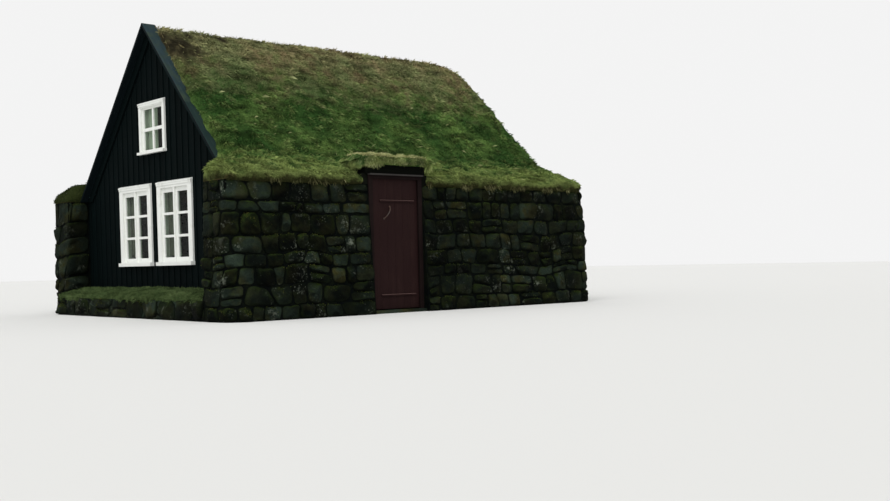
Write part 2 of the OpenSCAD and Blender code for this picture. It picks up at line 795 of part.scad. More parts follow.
module low_sashes(x) color(white_paint) at_low_sashes(x) sash(low_sash_w, low_sash_h, 1, 3, rail_h, bar_w);
module left_window_sashes() low_sashes(-low_win_x);
module right_window_sashes() low_sashes(low_win_x);
module upper_window_sash()
  color(white_paint) at_top_sash() sash(top_sash_w, top_sash_h, 2, 2, top_rail_h, top_bar_w);

module window_glass()
  color(pane) {
    for (x = [-low_win_x, low_win_x]) at_low_sashes(x) sheet(low_sash_w, low_sash_h, rail_h);
    at_top_sash() sheet(top_sash_w, top_sash_h, top_rail_h);
  }

// One curtain hangs in each half of a window, from the top of its box
module curtain(x0, x1, z, h)
  box([x0, curtain_y, z + h / 12], [x1, curtain_y + curtain_t, z + h - fit_gap]);

module curtains() {
  low_half = clear_w(low_win) / 2;
  top_half = clear_w(top_win) / 2;
  color(net) {
    for (x = [-low_win_x, low_win_x]) {
      curtain(x - low_half + curtain_gap, x - mullion_w / 2 - curtain_gap, low_win_z + sill_h,
              clear_h(low_win));
      curtain(x + low_half - drawn_w, x + low_half - curtain_gap, low_win_z + sill_h, clear_h(low_win));
    }
    curtain(-top_half + curtain_gap, -top_bar_w / 2, top_win_z + top_sill_h, clear_h(top_win));
    curtain(top_half - drawn_w, top_half - curtain_gap, top_win_z + top_sill_h, clear_h(top_win));
  }
}

// The frame's stop stands in front of the closed door on three sides
module door_frame()
  color(red_paint) {
    difference() {
      box([leaf_x0, door_y0, flag_t], [frame_x1, door_y1, head_top]);
      box([leaf_x0 - 1, clear_y0, 0], [frame_x1 - stop_t, clear_y1, door_clear_h]);
      box([leaf_x0, clear_y0 + stop_w, 0], [frame_x1 + 1, clear_y1 - stop_w, door_clear_h - stop_w]);
    }
  }

// Timbers beside the doorway on the wall's top, and the planks that roof the passage
module passage_timbers()
  color(old_beam) {
    for (y = [cheek_y0, door_y1]) box([plate_x, y, wall_h], [top_x, y + cheek_w, cheek_top]);
    box([plate_x, cheek_y0, cheek_top], [inner_beam_x0, cheek_y1, cheek_top + ceiling_t]);
  }

module door_head_beams()
  color(old_beam) for (x = [inner_beam_x0, beam_x1 - head_beam])
    box([x, door_y0 - beam_lap, cheek_top], [x + head_beam, door_y1 + beam_lap, beam_top]);

module door_drip_board()
  color(grey_wood) box([leaf_x0, door_y0, head_top], [frame_x1 + door_drip_out, door_y1, cheek_top]);

// Turf over the passage, from the roof's slope out over the head beams
module door_hood_turf() {
  hood_top = beam_top + hood_t;
  hood_x1 = beam_x1 + hood_over;
  color(dry_turf) difference() {
    along_y(cheek_y0, cheek_y1) polygon(concat(
      [[plate_x, cheek_top], [beam_x1, cheek_top], [beam_x1, beam_top]],
      arc([hood_x1 - hood_t / 2, beam_top + hood_t / 2], hood_t / 2, -90, 90, 8),
      [[plane_x(turf_apex, hood_top + 20), hood_top + 20], [plate_x, plane_z(turf_apex, plate_x)]]));
    box([plate_x - 1, cheek_y0 - 1, cheek_top - 1],
        [inner_beam_x0, cheek_y1 + 1, cheek_top + ceiling_t]);
    box([inner_beam_x0, cheek_y0 - 1, cheek_top - 1], [out_x, cheek_y1 + 1, beam_top]);
  }
}

module passage_flagstones() {
  joint = 8;
  stones = 3;
  first_x = in_x - floor_gap;
  pitch_x = (frame_x1 + 50 - first_x + joint) / stones;
  color(stone) for (i = [0:stones - 1])
    box([first_x + i * pitch_x, door_y0, 0],
        [first_x + (i + 1) * pitch_x - joint, door_y1, flag_t]);
}

// A pin on a plate that is fixed to the frame's inner face
module pintle(z) {
  collar_h = 16;
  plate_y = hinge_y + eye_r + 1;
  translate([hinge_x, hinge_y, z - collar_h]) {
    cylinder(r = pin_r, h = collar_h + strap_h + 4);
    cylinder(r = eye_r, h = collar_h - pin_gap);
  }
  box([hinge_x, hinge_y, z - collar_h], [leaf_x0, plate_y + 2, z - pin_gap]);
  box([leaf_x0 - strap_t, plate_y, z - collar_h - 20], [leaf_x0, door_y1 - 16, z + strap_h + 10]);
}

module door_pintles() color(iron) for (z = hinge_heights) pintle(z);

module door_leaf()
  color(red_paint) {
    box([leaf_x0, leaf_y0, leaf_z0], [leaf_x1, leaf_y1, leaf_z1]);
    for (top = [upper_ledge_top, lower_ledge_top])
      along_y(leaf_y0 + ledge_free_in, leaf_y1 - ledge_hinge_in) polygon([
        [leaf_x1, leaf_z0 + top - door_ledge_h], [leaf_x1 + ledge_t, leaf_z0 + top - door_ledge_h],
        [leaf_x1 + ledge_t, leaf_z0 + top - ledge_t / 2], [leaf_x1, leaf_z0 + top]]);
  }

// A bent bar, round in section, with a round plate at each end
module door_pull() {
  bend_r = (pull_l * pull_l / 4 + pull_bow * pull_bow) / (2 * pull_bow);
  half_angle = asin(pull_l / 2 / bend_r);
  color(iron)
    translate([leaf_x1, leaf_y0 + pull_margin, leaf_z0 + pull_z + pull_l / 2])
      rotate([-pull_lean, 0, 0]) intersection() {
        union() {
          translate([pull_bow - bend_r, 0, 0]) rotate([90, 0, 0])
            rotate([0, 0, -half_angle - 8]) rotate_extrude(angle = 2 * half_angle + 16)
              translate([bend_r, 0]) circle(r = pull_r);
          for (s = [-1, 1]) translate([0, 0, s * pull_l / 2]) rotate([0, 90, 0])
            cylinder(r = 2 * pull_r, h = pull_r / 2);
        }
        box([0, -pull_l, -pull_l], [2 * pull_l, pull_l, pull_l]);
      }
}

// A strap on the door's inner face with an eye round the pin
module strap(z) {
  translate([0, 0, z]) difference() {
    union() {
      translate([hinge_x, hinge_y, 0]) cylinder(r = eye_r, h = strap_h);
      box([leaf_x0 - strap_t, hinge_y - strap_l, 0], [leaf_x0, hinge_y - leaf_gap / 2, strap_h]);
      box([hinge_x, hinge_y - eye_r, 0], [leaf_x0, hinge_y - leaf_gap / 2, strap_h]);
    }
    translate([hinge_x, hinge_y, -1]) cylinder(r = pin_r + pin_gap, h = strap_h + 2);
  }
}

module door_straps() color(iron) for (z = hinge_heights) strap(z);

right_wall_front();
right_wall_rear();
left_wall();
rear_wall();
rear_gable_turf();
front_ledge();
front_ledge_turf();
gable_boards();
gable_sill_beam();
gable_posts();
gable_rails();
gable_rafters();
wall_plates();
tie_beams();
rafters();
ridge_board();
sarking_right();
sarking_left();
roof_turf_right();
roof_turf_left();
verge_cap_right();
verge_cap_left();
barge_board_right();
barge_board_left();
floor_sleepers();
floor_boards();
loft_floor();
left_window_casing();
right_window_casing();
upper_window_casing();
left_window_sashes();
right_window_sashes();
upper_window_sash();
window_glass();
curtains();
door_frame();
door_head_beams();
passage_timbers();
door_drip_board();
door_hood_turf();
passage_flagstones();
door_pintles();
door_leaf();
door_pull();
door_straps();
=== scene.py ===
import math
import bmesh
import bpy
import numpy as np
from mathutils import Matrix, Vector, noise
from mathutils.bvhtree import BVHTree


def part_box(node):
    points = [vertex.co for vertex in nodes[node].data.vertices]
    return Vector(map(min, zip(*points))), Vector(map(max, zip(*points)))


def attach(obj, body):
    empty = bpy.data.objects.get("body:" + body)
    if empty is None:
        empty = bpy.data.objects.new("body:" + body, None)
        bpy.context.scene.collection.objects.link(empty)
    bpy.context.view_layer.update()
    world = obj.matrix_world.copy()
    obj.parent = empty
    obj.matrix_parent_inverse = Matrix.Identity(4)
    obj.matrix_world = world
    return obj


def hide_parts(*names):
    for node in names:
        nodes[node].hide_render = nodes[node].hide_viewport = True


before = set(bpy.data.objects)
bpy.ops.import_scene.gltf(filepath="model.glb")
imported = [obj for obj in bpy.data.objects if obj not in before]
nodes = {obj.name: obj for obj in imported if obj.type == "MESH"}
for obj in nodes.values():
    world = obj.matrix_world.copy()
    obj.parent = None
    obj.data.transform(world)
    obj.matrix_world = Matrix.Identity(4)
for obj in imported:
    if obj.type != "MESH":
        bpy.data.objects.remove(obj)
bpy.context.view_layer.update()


def low(node):
    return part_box(node)[0]


def high(node):
    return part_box(node)[1]


# Places read from the frame, in metres
out_x = high("right_wall_front").x
in_x = low("right_wall_front").x
front_y = low("right_wall_front").y
left_front_y = low("left_wall").y
rear_y = high("left_wall").y
wall_h = high("left_wall").z
ledge_h = high("front_ledge").z
wing_x = high("gable_boards").x
gable_y = low("gable_boards").y
door_y0 = high("right_wall_front").y
door_y1 = low("right_wall_rear").y
frame_x0 = low("door_frame").x
cap_back_y = high("verge_cap_right").y
ridge_z = high("roof_turf_right").z
hood_front = high("door_hood_turf").x
pitch = math.radians(46.5)

# Face stones, in metres
course_h = 0.20
stone_l = 0.27
joint = 0.014
shortest_side = 0.004
narrowest_half = 0.012
stone_depth = 0.07
stone_bulge = 0.055
stone_rough = 0.010
stone_least = 0.004
stone_end_gap = 0.006
stone_sides = 28
# Rings of a stone's face, as shares of its outline: the buried edge, then from the rim to the middle
stone_rings = (1.0, 1.0, 0.93, 0.80, 0.62, 0.34, 0.0)
# Radii of the walls' upright corners
wing_corner_r = 0.07
house_corner_r = 0.25
ledge_corner_r = 0.05

# Boards, battens and planks, in metres
board_w = 0.155
board_seam = 0.003
batten_w = 0.034
batten_t = 0.010
batten_overlap = 0.018
floor_board_w = 0.17
sarking_w = 0.18
plank_count = 6
plank_groove = 0.0022
plank_gap = 0.0004
nail_r = 0.0055
sill_ear = 0.010
bedded = 0.002

# Turf, grass and moss, in metres
sward_cell = 0.036
sward_low = 0.004
sward_rise = 0.030
root_depth = 0.006
creep_widths = [0.03, 0.05, 0.09, 0.12, 0.16, 0.20]
creep_places = [0, 0.25, 0.5, 0.8, 0.93, 1.0]
creep_thick = 0.022
moss_length = 0.014
moss_half_w = 0.006
moss_depth = 0.004

# Curtains, in metres
pleat = 0.044
pleat_depth = 0.010
points_per_pleat = 12
curtain_rows = 15

# The damp part of the right wall, along Y: where it begins, is full, begins to fade and ends
damp_flank = (-2.5, -1.9, -0.1, 0.4)

CASINGS = ("left_window_casing", "right_window_casing", "upper_window_casing")
TURF_NODES = ["roof_turf_right", "roof_turf_left", "rear_gable_turf", "door_hood_turf", "front_ledge_turf"]

# Turns that lay a pattern's Z along the fibres of the wood
WOOD_ALONG = {"X": (0, -math.pi / 2, 0), "Y": (math.pi / 2, 0, 0), "Z": (0, 0, 0),
              "RIGHT_SLOPE": (0, math.pi / 2 - pitch, 0), "LEFT_SLOPE": (0, pitch - math.pi / 2, 0)}


def srgb(red, green, blue):
    """A colour given as 0 to 255, as the linear colour that shaders take."""
    def linear(value):
        value /= 255
        return value / 12.92 if value <= 0.04045 else ((value + 0.055) / 1.055) ** 2.4
    return (linear(red), linear(green), linear(blue), 1.0)


# Shader building

def add(tree, kind, inputs=None, **settings):
    """Adds a shader node. Inputs are values, or sockets to link."""
    made = tree.nodes.new(kind)
    for key, value in settings.items():
        setattr(made, key, value)
    for key, value in (inputs or {}).items():
        if isinstance(value, bpy.types.NodeSocket):
            tree.links.new(value, made.inputs[key])
        else:
            made.inputs[key].default_value = value
    return made


def maths(tree, operation, first, second=0.0, clamp=False):
    made = add(tree, "ShaderNodeMath", {0: first, 1: second}, operation=operation, use_clamp=clamp)
    return made.outputs[0]


def times(tree, first, second):
    return maths(tree, "MULTIPLY", first, second)


def plus(tree, first, second):
    return maths(tree, "ADD", first, second)


def minus(tree, first, second):
    return maths(tree, "SUBTRACT", first, second)


def ramp(tree, value, start, end, to_start=0.0, to_end=1.0):
    made = add(tree, "ShaderNodeMapRange", {"Value": value, "From Min": start, "From Max": end,
                                            "To Min": to_start, "To Max": to_end})
    return made.outputs[0]


def mix(tree, mask, first, second, mode="MIX"):
    made = add(tree, "ShaderNodeMix", {0: mask, 6: first, 7: second}, data_type="RGBA", blend_type=mode)
    return made.outputs[2]


def dimmed(tree, colour, share):
    """A colour times a share that changes over the surface."""
    grey_of = add(tree, "ShaderNodeCombineColor", {"Red": share, "Green": share, "Blue": share})
    return mix(tree, 1.0, colour, grey_of.outputs[0], "MULTIPLY")


def noise_of(tree, position, scale, detail=4.0, roughness=0.55):
    made = add(tree, "ShaderNodeTexNoise", {"Vector": position, "Scale": scale, "Detail": detail,
                                            "Roughness": roughness})
    return made.outputs[0]


def axes_of(tree, vector):
    return add(tree, "ShaderNodeSeparateXYZ", {0: vector}).outputs


def stretched(tree, vector, factors):
    return add(tree, "ShaderNodeVectorMath", {0: vector, 1: factors}, operation="MULTIPLY").outputs[0]


def shifted(tree, vector, shift):
    return add(tree, "ShaderNodeVectorMath", {0: vector, 1: shift}, operation="ADD").outputs[0]


def facing_up(tree, normal="Normal"):
    """How far a surface faces up: 1 on top, 0 on an upright side."""
    return axes_of(tree, add(tree, "ShaderNodeNewGeometry").outputs[normal])["Z"]


def attribute(tree, name):
    return add(tree, "ShaderNodeAttribute", attribute_name=name).outputs["Fac"]


def new_group(name, inputs, outputs):
    """A shader node group with named sockets. Returns it with its input sockets and its output node."""
    group = bpy.data.node_groups.new(name, "ShaderNodeTree")
    for label, kind, value in inputs:
        made = group.interface.new_socket(label, in_out="INPUT", socket_type="NodeSocket" + kind)
        if value is not None:
            made.default_value = value
    for label, kind in outputs:
        group.interface.new_socket(label, in_out="OUTPUT", socket_type="NodeSocket" + kind)
    entry = group.nodes.new("NodeGroupInput")
    return group, entry.outputs, group.nodes.new("NodeGroupOutput")


def put_out(group, result, values):
    """Links what a group puts out, and returns the group."""
    for label, value in values.items():
        group.links.new(value, result.inputs[label])
    return group


def place(tree, group, inputs):
    """Places a shared effect in a material and returns its outputs."""
    return add(tree, "ShaderNodeGroup", inputs, node_tree=group).outputs


# Shared effects

def make_patches():
    """Soft-edged patches, such as moss, damp and wear."""
    group, given, result = new_group(
        "patches", [("Position", "Vector", None), ("Scale", "Float", 2.0),
                    ("Threshold", "Float", 0.5), ("Softness", "Float", 0.1)], [("Mask", "Float")])
    pattern = noise_of(group, given["Position"], given["Scale"], 6.0, 0.6)
    start = minus(group, given["Threshold"], given["Softness"])
    end = plus(group, given["Threshold"], given["Softness"])
    return put_out(group, result, {"Mask": ramp(group, pattern, start, end)})


def patchy(tree, position, scale, threshold, softness):
    inputs = {"Position": position, "Scale": scale, "Threshold": threshold, "Softness": softness}
    return place(tree, patches, inputs)["Mask"]


def make_wood_grain():
    """Grain of sawn wood whose fibres run along Z of the given position."""
    group, given, result = new_group(
        "wood grain", [("Position", "Vector", None), ("Board", "Float", 0.0)],
        [("Grain", "Float"), ("Height", "Float")])
    own_place = add(group, "ShaderNodeCombineXYZ", {"X": times(group, given["Board"], 7.0),
                                                    "Z": times(group, given["Board"], 31.0)})
    position = shifted(group, given["Position"], own_place.outputs[0])
    figure = stretched(group, position, (14.0, 14.0, 0.9))
    fibre = stretched(group, position, (160.0, 160.0, 6.0))
    rings = add(group, "ShaderNodeTexWave", {"Vector": figure, "Scale": 1.1, "Distortion": 3.5,
                                             "Detail": 3.0, "Detail Scale": 0.8}, bands_direction="X")
    fine = noise_of(group, fibre, 1.0, 3.0, 0.6)
    grain = ramp(group, plus(group, times(group, rings.outputs["Fac"], 0.5), fine), 0.4, 1.1)
    return put_out(group, result, {"Grain": grain, "Height": plus(group, grain, times(group, fine, 0.5))})


def make_board_lines():
    """Seams between boards laid side by side, and a steady random value for each board."""
    group, given, result = new_group(
        "board lines", [("Across", "Float", 0.0), ("Width", "Float", 0.15), ("Seam", "Float", 0.03)],
        [("Seam", "Float"), ("Board", "Float")])
    steps = maths(group, "DIVIDE", given["Across"], given["Width"])
    edge = maths(group, "ABSOLUTE", minus(group, maths(group, "FRACT", steps), 0.5))
    start = minus(group, 0.5, given["Seam"])
    board = add(group, "ShaderNodeTexWhiteNoise", {"W": maths(group, "FLOOR", steps)}, noise_dimensions="1D")
    return put_out(group, result, {"Seam": ramp(group, edge, start, 0.5), "Board": board.outputs[0]})


def make_rock():
    """Colour, roughness and height of a weathered field stone with ochre stains, lichen, moss and damp."""
    group, given, result = new_group(
        "rock", [("Position", "Vector", None), ("Tint", "Float", 0.5), ("Moss", "Float", 0.0)],
        [("Colour", "Color"), ("Roughness", "Float"), ("Height", "Float")])
    position = given["Position"]
    cloud = noise_of(group, position, 9.0, 8.0, 0.65)
    grit = noise_of(group, position, 75.0, 5.0, 0.7)
    tone = plus(group, times(group, given["Tint"], 0.75), times(group, cloud, 0.5))
    colour = mix(group, ramp(group, tone, 0.25, 1.0), srgb(3, 8, 7), srgb(56, 69, 59))

    brown = patchy(group, position, 3.4, 0.53, 0.07)
    ochre = times(group, brown, ramp(group, given["Tint"], 0.3, 0.9, 0.2, 0.85))
    colour = mix(group, ochre, colour, mix(group, cloud, srgb(32, 31, 14), srgb(84, 80, 38)))
    colour = mix(group, ramp(group, grit, 0.35, 0.7, 0.0, 0.5), colour, srgb(9, 11, 11))

    uneven = add(group, "ShaderNodeTexNoise", {"Vector": position, "Scale": 60.0, "Detail": 3.0})
    wander = stretched(group, uneven.outputs["Color"], (0.03, 0.03, 0.03))
    spots = add(group, "ShaderNodeTexVoronoi", {"Vector": shifted(group, position, wander), "Scale": 34.0,
                                                "Randomness": 1.0})
    near = ramp(group, spots.outputs["Distance"], 0.30, 0.16)
    zone = patchy(group, position, 2.7, 0.58, 0.06)
    crust = patchy(group, position, 11.0, 0.62, 0.06)
    lichen = times(group, maths(group, "MAXIMUM", near, crust), zone)
    colour = mix(group, times(group, lichen, 0.75), colour, srgb(146, 154, 138))

    green = patchy(group, position, 5.0, 0.50, 0.14)
    mossy = maths(group, "MULTIPLY", green, given["Moss"], clamp=True)
    colour = mix(group, mossy, colour, mix(group, grit, srgb(12, 21, 8), srgb(46, 58, 22)))
    damp = patchy(group, position, 1.3, 0.50, 0.09)
    colour = dimmed(group, colour, ramp(group, damp, 0.0, 1.0, 1.0, 0.4))
    height = plus(group, cloud, times(group, grit, 0.25))
    return put_out(group, result, {"Colour": colour, "Roughness": ramp(group, cloud, 0.3, 0.7, 0.82, 0.97),
                                   "Height": plus(group, height, times(group, mossy, 0.5))})


def make_turf_tones():
    """Greens of long grass, dry and reddish towards the ridge, with painted highlights, painted shade in the
    hollows of the turf, and brown earth with painted shade along the lower edge.
    """
    group, given, result = new_group(
        "turf tones", [("Position", "Vector", None), ("Tint", "Float", 0.5), ("Dry", "Float", 0.0)],
        [("Colour", "Color")])
    position, tint = given["Position"], given["Tint"]
    across = axes_of(group, position)
    height = across["Z"]
    broad = noise_of(group, position, 1.5, 3.0)
    middle = noise_of(group, position, 6.0, 5.0, 0.6)
    uneven = minus(group, middle, 0.5)
    green = mix(group, ramp(group, broad, 0.40, 0.60), srgb(66, 104, 50), srgb(118, 150, 78))
    green = mix(group, ramp(group, middle, 0.42, 0.66), green, srgb(57, 91, 44))
    # Painted highlight: a light green where the tint is high
    green = mix(group, ramp(group, tint, 0.55, 1.0, 0.0, 0.6), green, srgb(150, 164, 100))

    # A painted highlight along the eaves, and dry near the ridge
    lift = plus(group, height, times(group, uneven, 1.3))
    dry = ramp(group, lift, 2.75, 3.6, 0.0, 0.85)
    eave_highlight = ramp(group, lift, 2.05, 1.75, 0.0, 0.6)
    straw = mix(group, ramp(group, broad, 0.42, 0.6), srgb(176, 178, 126), srgb(168, 148, 112))
    straw = mix(group, ramp(group, tint, 0.0, 0.6), srgb(106, 104, 68), straw)
    colour = mix(group, times(group, eave_highlight, 0.9), green, srgb(172, 182, 108))
    colour = mix(group, times(group, dry, ramp(group, tint, 0.0, 0.5, 0.55, 1.0)), colour, straw)
    # Painted shade in the hollows of the turf, in bands along the roof
    tussock_shade = noise_of(group, stretched(group, position, (4.2, 1.6, 5.5)), 1.6, 3.0)
    colour = dimmed(group, colour, ramp(group, tussock_shade, 0.34, 0.56, 0.42, 1.0))

    # Brown earth with painted shade under the lip, green on the ledge, and dull on the left wing's turf
    ragged = plus(group, height, times(group, uneven, 0.25))
    under = ramp(group, ragged, wall_h + 0.09, wall_h + 0.02, 0.0, 0.92)
    colour = mix(group, under, colour, mix(group, tint, srgb(18, 18, 11), srgb(62, 54, 33)))
    on_ledge = ramp(group, height, ledge_h + 0.35, ledge_h + 0.25, 0.0, 0.95)
    colour = mix(group, on_ledge, colour, mix(group, tint, srgb(60, 80, 45), srgb(100, 118, 74)))
    wing = times(group, ramp(group, across["X"], -1.9, -2.1), ramp(group, across["Y"], -2.2, -2.45))
    wing = times(group, times(group, wing, 0.95), ramp(group, height, ledge_h + 0.3, ledge_h + 0.5))
    colour = mix(group, wing, colour, mix(group, tint, srgb(22, 28, 14), srgb(66, 76, 40)))

    seeds = mix(group, tint, srgb(150, 148, 92), srgb(222, 222, 166))
    return put_out(group, result, {"Colour": mix(group, given["Dry"], colour, seeds)})


patches = make_patches()
wood_grain = make_wood_grain()
board_lines = make_board_lines()
rock = make_rock()
turf_tones = make_turf_tones()


# Materials

def new_material(name):
    """A material, its node tree, its shader, and the position that its patterns are laid by."""
    made = bpy.data.materials.new(name)
    made.use_nodes = True
    tree = made.node_tree
    position = add(tree, "ShaderNodeTexCoord").outputs["Object"]
    return made, tree, tree.nodes["Principled BSDF"], position


def matt(shader, gloss, roughness=None):
    """Sets how strongly a surface reflects, and its roughness where that is the same all over."""
    shader.inputs["Specular IOR Level"].default_value = gloss
    if roughness is not None:
        shader.inputs["Roughness"].default_value = roughness


def bump(tree, shader, height, distance, strength=1.0):
    made = add(tree, "ShaderNodeBump", {"Height": height, "Distance": distance, "Strength": strength})
    tree.links.new(made.outputs[0], shader.inputs["Normal"])


def feed(tree, shader, **links):
    names = {"colour": "Base Color", "roughness": "Roughness", "metallic": "Metallic", "alpha": "Alpha"}
    for key, value in links.items():
        tree.links.new(value, shader.inputs[names[key]])


def grain_along(tree, position, along, board=0.0):
    turned = add(tree, "ShaderNodeMapping", {"Vector": position, "Rotation": WOOD_ALONG[along]})
    return place(tree, wood_grain, {"Position": turned.outputs[0], "Board": board})


def wood(name, tone, worn, along, roughness=0.8, grain_height=0.0012, across=None, width=0.15, wear=0.55,
         gloss=0.06, lit_tops=None):
    """Sawn wood. Across and width draw the seams of boards side by side, and tops, when given, is a painted
    highlight on the faces that look up.
    """
    made, tree, shader, position = new_material(name)
    board, seam = 0.0, None
    if across:
        lines = place(tree, board_lines, {"Across": axes_of(tree, position)[across], "Width": width,
                                          "Seam": board_seam / width})
        board, seam = lines["Board"], lines["Seam"]
    grain = grain_along(tree, position, along, board)
    rubbed = patchy(tree, position, 2.6, wear, 0.14)
    colour = mix(tree, times(tree, grain["Grain"], ramp(tree, rubbed, 0.0, 1.0, 0.25, 1.0)), tone, worn)
    height = grain["Height"]
    if across:
        colour = dimmed(tree, colour, ramp(tree, board, 0.0, 1.0, 0.82, 1.1))
        colour = mix(tree, times(tree, seam, 0.6), colour, (0.008, 0.008, 0.008, 1.0))
        height = minus(tree, height, times(tree, seam, 3.0))
    # Painted highlight on the faces that look up
    if lit_tops:
        colour = mix(tree, ramp(tree, facing_up(tree, "True Normal"), 0.35, 0.6), colour, lit_tops)
    rough = ramp(tree, grain["Grain"], 0.0, 1.0, roughness - 0.08, min(roughness + 0.1, 1.0))
    feed(tree, shader, colour=colour, roughness=rough)
    bump(tree, shader, height, grain_height)
    matt(shader, gloss)
    return made


def verge_paint(name, along):
    """Tarred boards with a painted reflection of the sky, blue-grey, on their upper faces, some moss, and
    painted shade that makes them darker and greener lower down.
    """
    made, tree, shader, position = new_material(name)
    grain = grain_along(tree, position, along)
    # Painted reflection of the sky, blue-grey
    painted_sky_sheen = mix(tree, grain["Grain"], srgb(30, 45, 49), srgb(58, 74, 78))
    mossy = patchy(tree, position, 5.0, 0.54, 0.1)
    painted_sky_sheen = mix(tree, times(tree, mossy, 0.7), painted_sky_sheen, srgb(52, 64, 48))
    height = plus(tree, axes_of(tree, position)["Z"], times(tree, mossy, 0.25))
    # Painted shade: darker and greener lower down the slope
    painted_sky_sheen = mix(tree, ramp(tree, height, 3.0, 2.75, 0.0, 0.85), painted_sky_sheen,
                mix(tree, grain["Grain"], srgb(20, 36, 34), srgb(40, 56, 52)))
    tarred = mix(tree, grain["Grain"], srgb(5, 11, 12), srgb(16, 25, 28))
    # The painted sky reflection goes on the faces that look up; the fronts stay tarred
    feed(tree, shader, colour=mix(tree, ramp(tree, facing_up(tree), 0.25, 0.5), tarred, painted_sky_sheen),
         roughness=ramp(tree, grain["Grain"], 0.0, 1.0, 0.62, 0.85))
    bump(tree, shader, grain["Height"], 0.0012)
    matt(shader, 0.05)
    return made


def rubble_stone():
    """Faces of the field stones: mossy towards the joints and on their upper faces, with painted light on the
    faces that look up, painted shade on the faces that look down, darker where the wall is damp, and a
    painted shadow around each stone's rim in the joints.
    """
    made, tree, shader, position = new_material("rubble stone")
    rim = attribute(tree, "rim")
    up = facing_up(tree)
    mossy = plus(tree, ramp(tree, up, 0.05, 0.7, 0.1, 1.3), ramp(tree, rim, 0.55, 1.0, 0.0, 0.5))
    face = place(tree, rock, {"Position": position, "Tint": attribute(tree, "tint"), "Moss": mossy})
    along = axes_of(tree, position)["Y"]
    begins, full_from, full_to, ends = damp_flank
    wet = times(tree, ramp(tree, along, begins, full_from), ramp(tree, along, ends, full_to))
    # Painted light and shade: faces that look up are lightened, faces that look down darkened, and the damp
    # flank is darker
    light = times(tree, ramp(tree, up, -0.35, 0.45, 0.42, 1.22), ramp(tree, wet, 0.0, 1.0, 1.0, 0.80))
    # Painted shadow around each stone's rim, in the joints
    shadow = ramp(tree, rim, 0.90, 1.0, 0.0, 0.7)
    feed(tree, shader, colour=mix(tree, shadow, dimmed(tree, face["Colour"], light), srgb(4, 7, 6)),
         roughness=face["Roughness"])
    bump(tree, shader, face["Height"], 0.02)
    matt(shader, 0.04)
    return made


def wall_core():
    """Earth and small stones between the face stones, and the plain inner faces of the walls. The earth is
    dark, painted near-black for the shade in the joints.
    """
    made, tree, shader, position = new_material("wall core")
    flat = add(tree, "ShaderNodeMapping", {"Vector": position, "Scale": (1, 1, 1.5)}).outputs[0]
    cells = {"Vector": flat, "Scale": 4.6, "Randomness": 0.9}
    edge = add(tree, "ShaderNodeTexVoronoi", cells, feature="DISTANCE_TO_EDGE").outputs["Distance"]
    cell = add(tree, "ShaderNodeTexVoronoi", cells).outputs["Color"]
    tint = add(tree, "ShaderNodeSeparateColor", {0: cell}).outputs["Red"]
    off_middle = maths(tree, "ABSOLUTE", axes_of(tree, position)["X"])
    inside = maths(tree, "LESS_THAN", off_middle, in_x + 0.005)
    stones = times(tree, ramp(tree, edge, 0.03, 0.09), inside)
    face = place(tree, rock, {"Position": position, "Tint": tint, "Moss": 0.2})
    # Dark earth, painted near-black as the shade in the joints
    soil = mix(tree, patchy(tree, position, 12.0, 0.55, 0.1), srgb(5, 8, 8), srgb(14, 18, 10))
    feed(tree, shader, colour=mix(tree, stones, soil, face["Colour"]), roughness=face["Roughness"])
    bump(tree, shader, plus(tree, face["Height"], times(tree, stones, 2.0)), 0.012)
    matt(shader, 0.03)
    return made


def flagstone():
    made, tree, shader, position = new_material("flagstone")
    face = place(tree, rock, {"Position": position, "Tint": 0.8, "Moss": 0.25})
    feed(tree, shader, colour=face["Colour"], roughness=face["Roughness"])
    bump(tree, shader, face["Height"], 0.006)
    matt(shader, 0.06)
    return made


def turf_earth():
    """Cut turf seen from the side: root-bound brown earth with grass growing out of it."""
    made, tree, shader, position = new_material("turf earth")
    layers = add(tree, "ShaderNodeMapping", {"Vector": position, "Scale": (1, 1, 5)}).outputs[0]
    roots = noise_of(tree, layers, 9.0, 8.0, 0.7)
    soil = mix(tree, roots, srgb(34, 27, 18), srgb(92, 76, 50))
    grass = place(tree, turf_tones, {"Position": position, "Tint": roots})
    growth = patchy(tree, position, 8.0, 0.45, 0.1)
    feed(tree, shader, colour=mix(tree, growth, soil, grass["Colour"]))
    matt(shader, 0.03, 1.0)
    bump(tree, shader, roots, 0.02)
    return made


def sward_turf():
    """Ground of the grass: painted shade darkens it between the tufts, with bare brown earth where the turf
    has broken off.
    """
    made, tree, shader, position = new_material("sward")
    fine = noise_of(tree, position, 55.0, 4.0, 0.7)
    grass = place(tree, turf_tones, {"Position": position, "Tint": fine})
    # Painted shade between the tufts
    deep = mix(tree, ramp(tree, fine, 0.35, 0.65, 0.6, 0.1), grass["Colour"], srgb(30, 38, 16))
    crumbs = noise_of(tree, position, 26.0, 8.0, 0.75)
    soil = mix(tree, ramp(tree, crumbs, 0.3, 0.7), srgb(14, 13, 8), srgb(62, 58, 42))
    feed(tree, shader, colour=mix(tree, attribute(tree, "bare"), deep, soil))
    matt(shader, 0.03, 1.0)
    bump(tree, shader, plus(tree, fine, crumbs), 0.03)
    return made


def grass_blade():
    """Grass: painted shade darkens each blade towards its base, so that the tips look lit."""
    made, tree, shader, position = new_material("grass blade")
    tones = place(tree, turf_tones, {"Position": position, "Tint": attribute(tree, "tint"),
                                     "Dry": attribute(tree, "dry")})
    # Painted shade towards the base of each blade
    root = mix(tree, 1.0, tones["Colour"], srgb(150, 150, 140), "MULTIPLY")
    feed(tree, shader, colour=mix(tree, ramp(tree, attribute(tree, "tip"), 0.0, 0.7), root, tones["Colour"]))
    matt(shader, 0.06, 0.8)
    return made


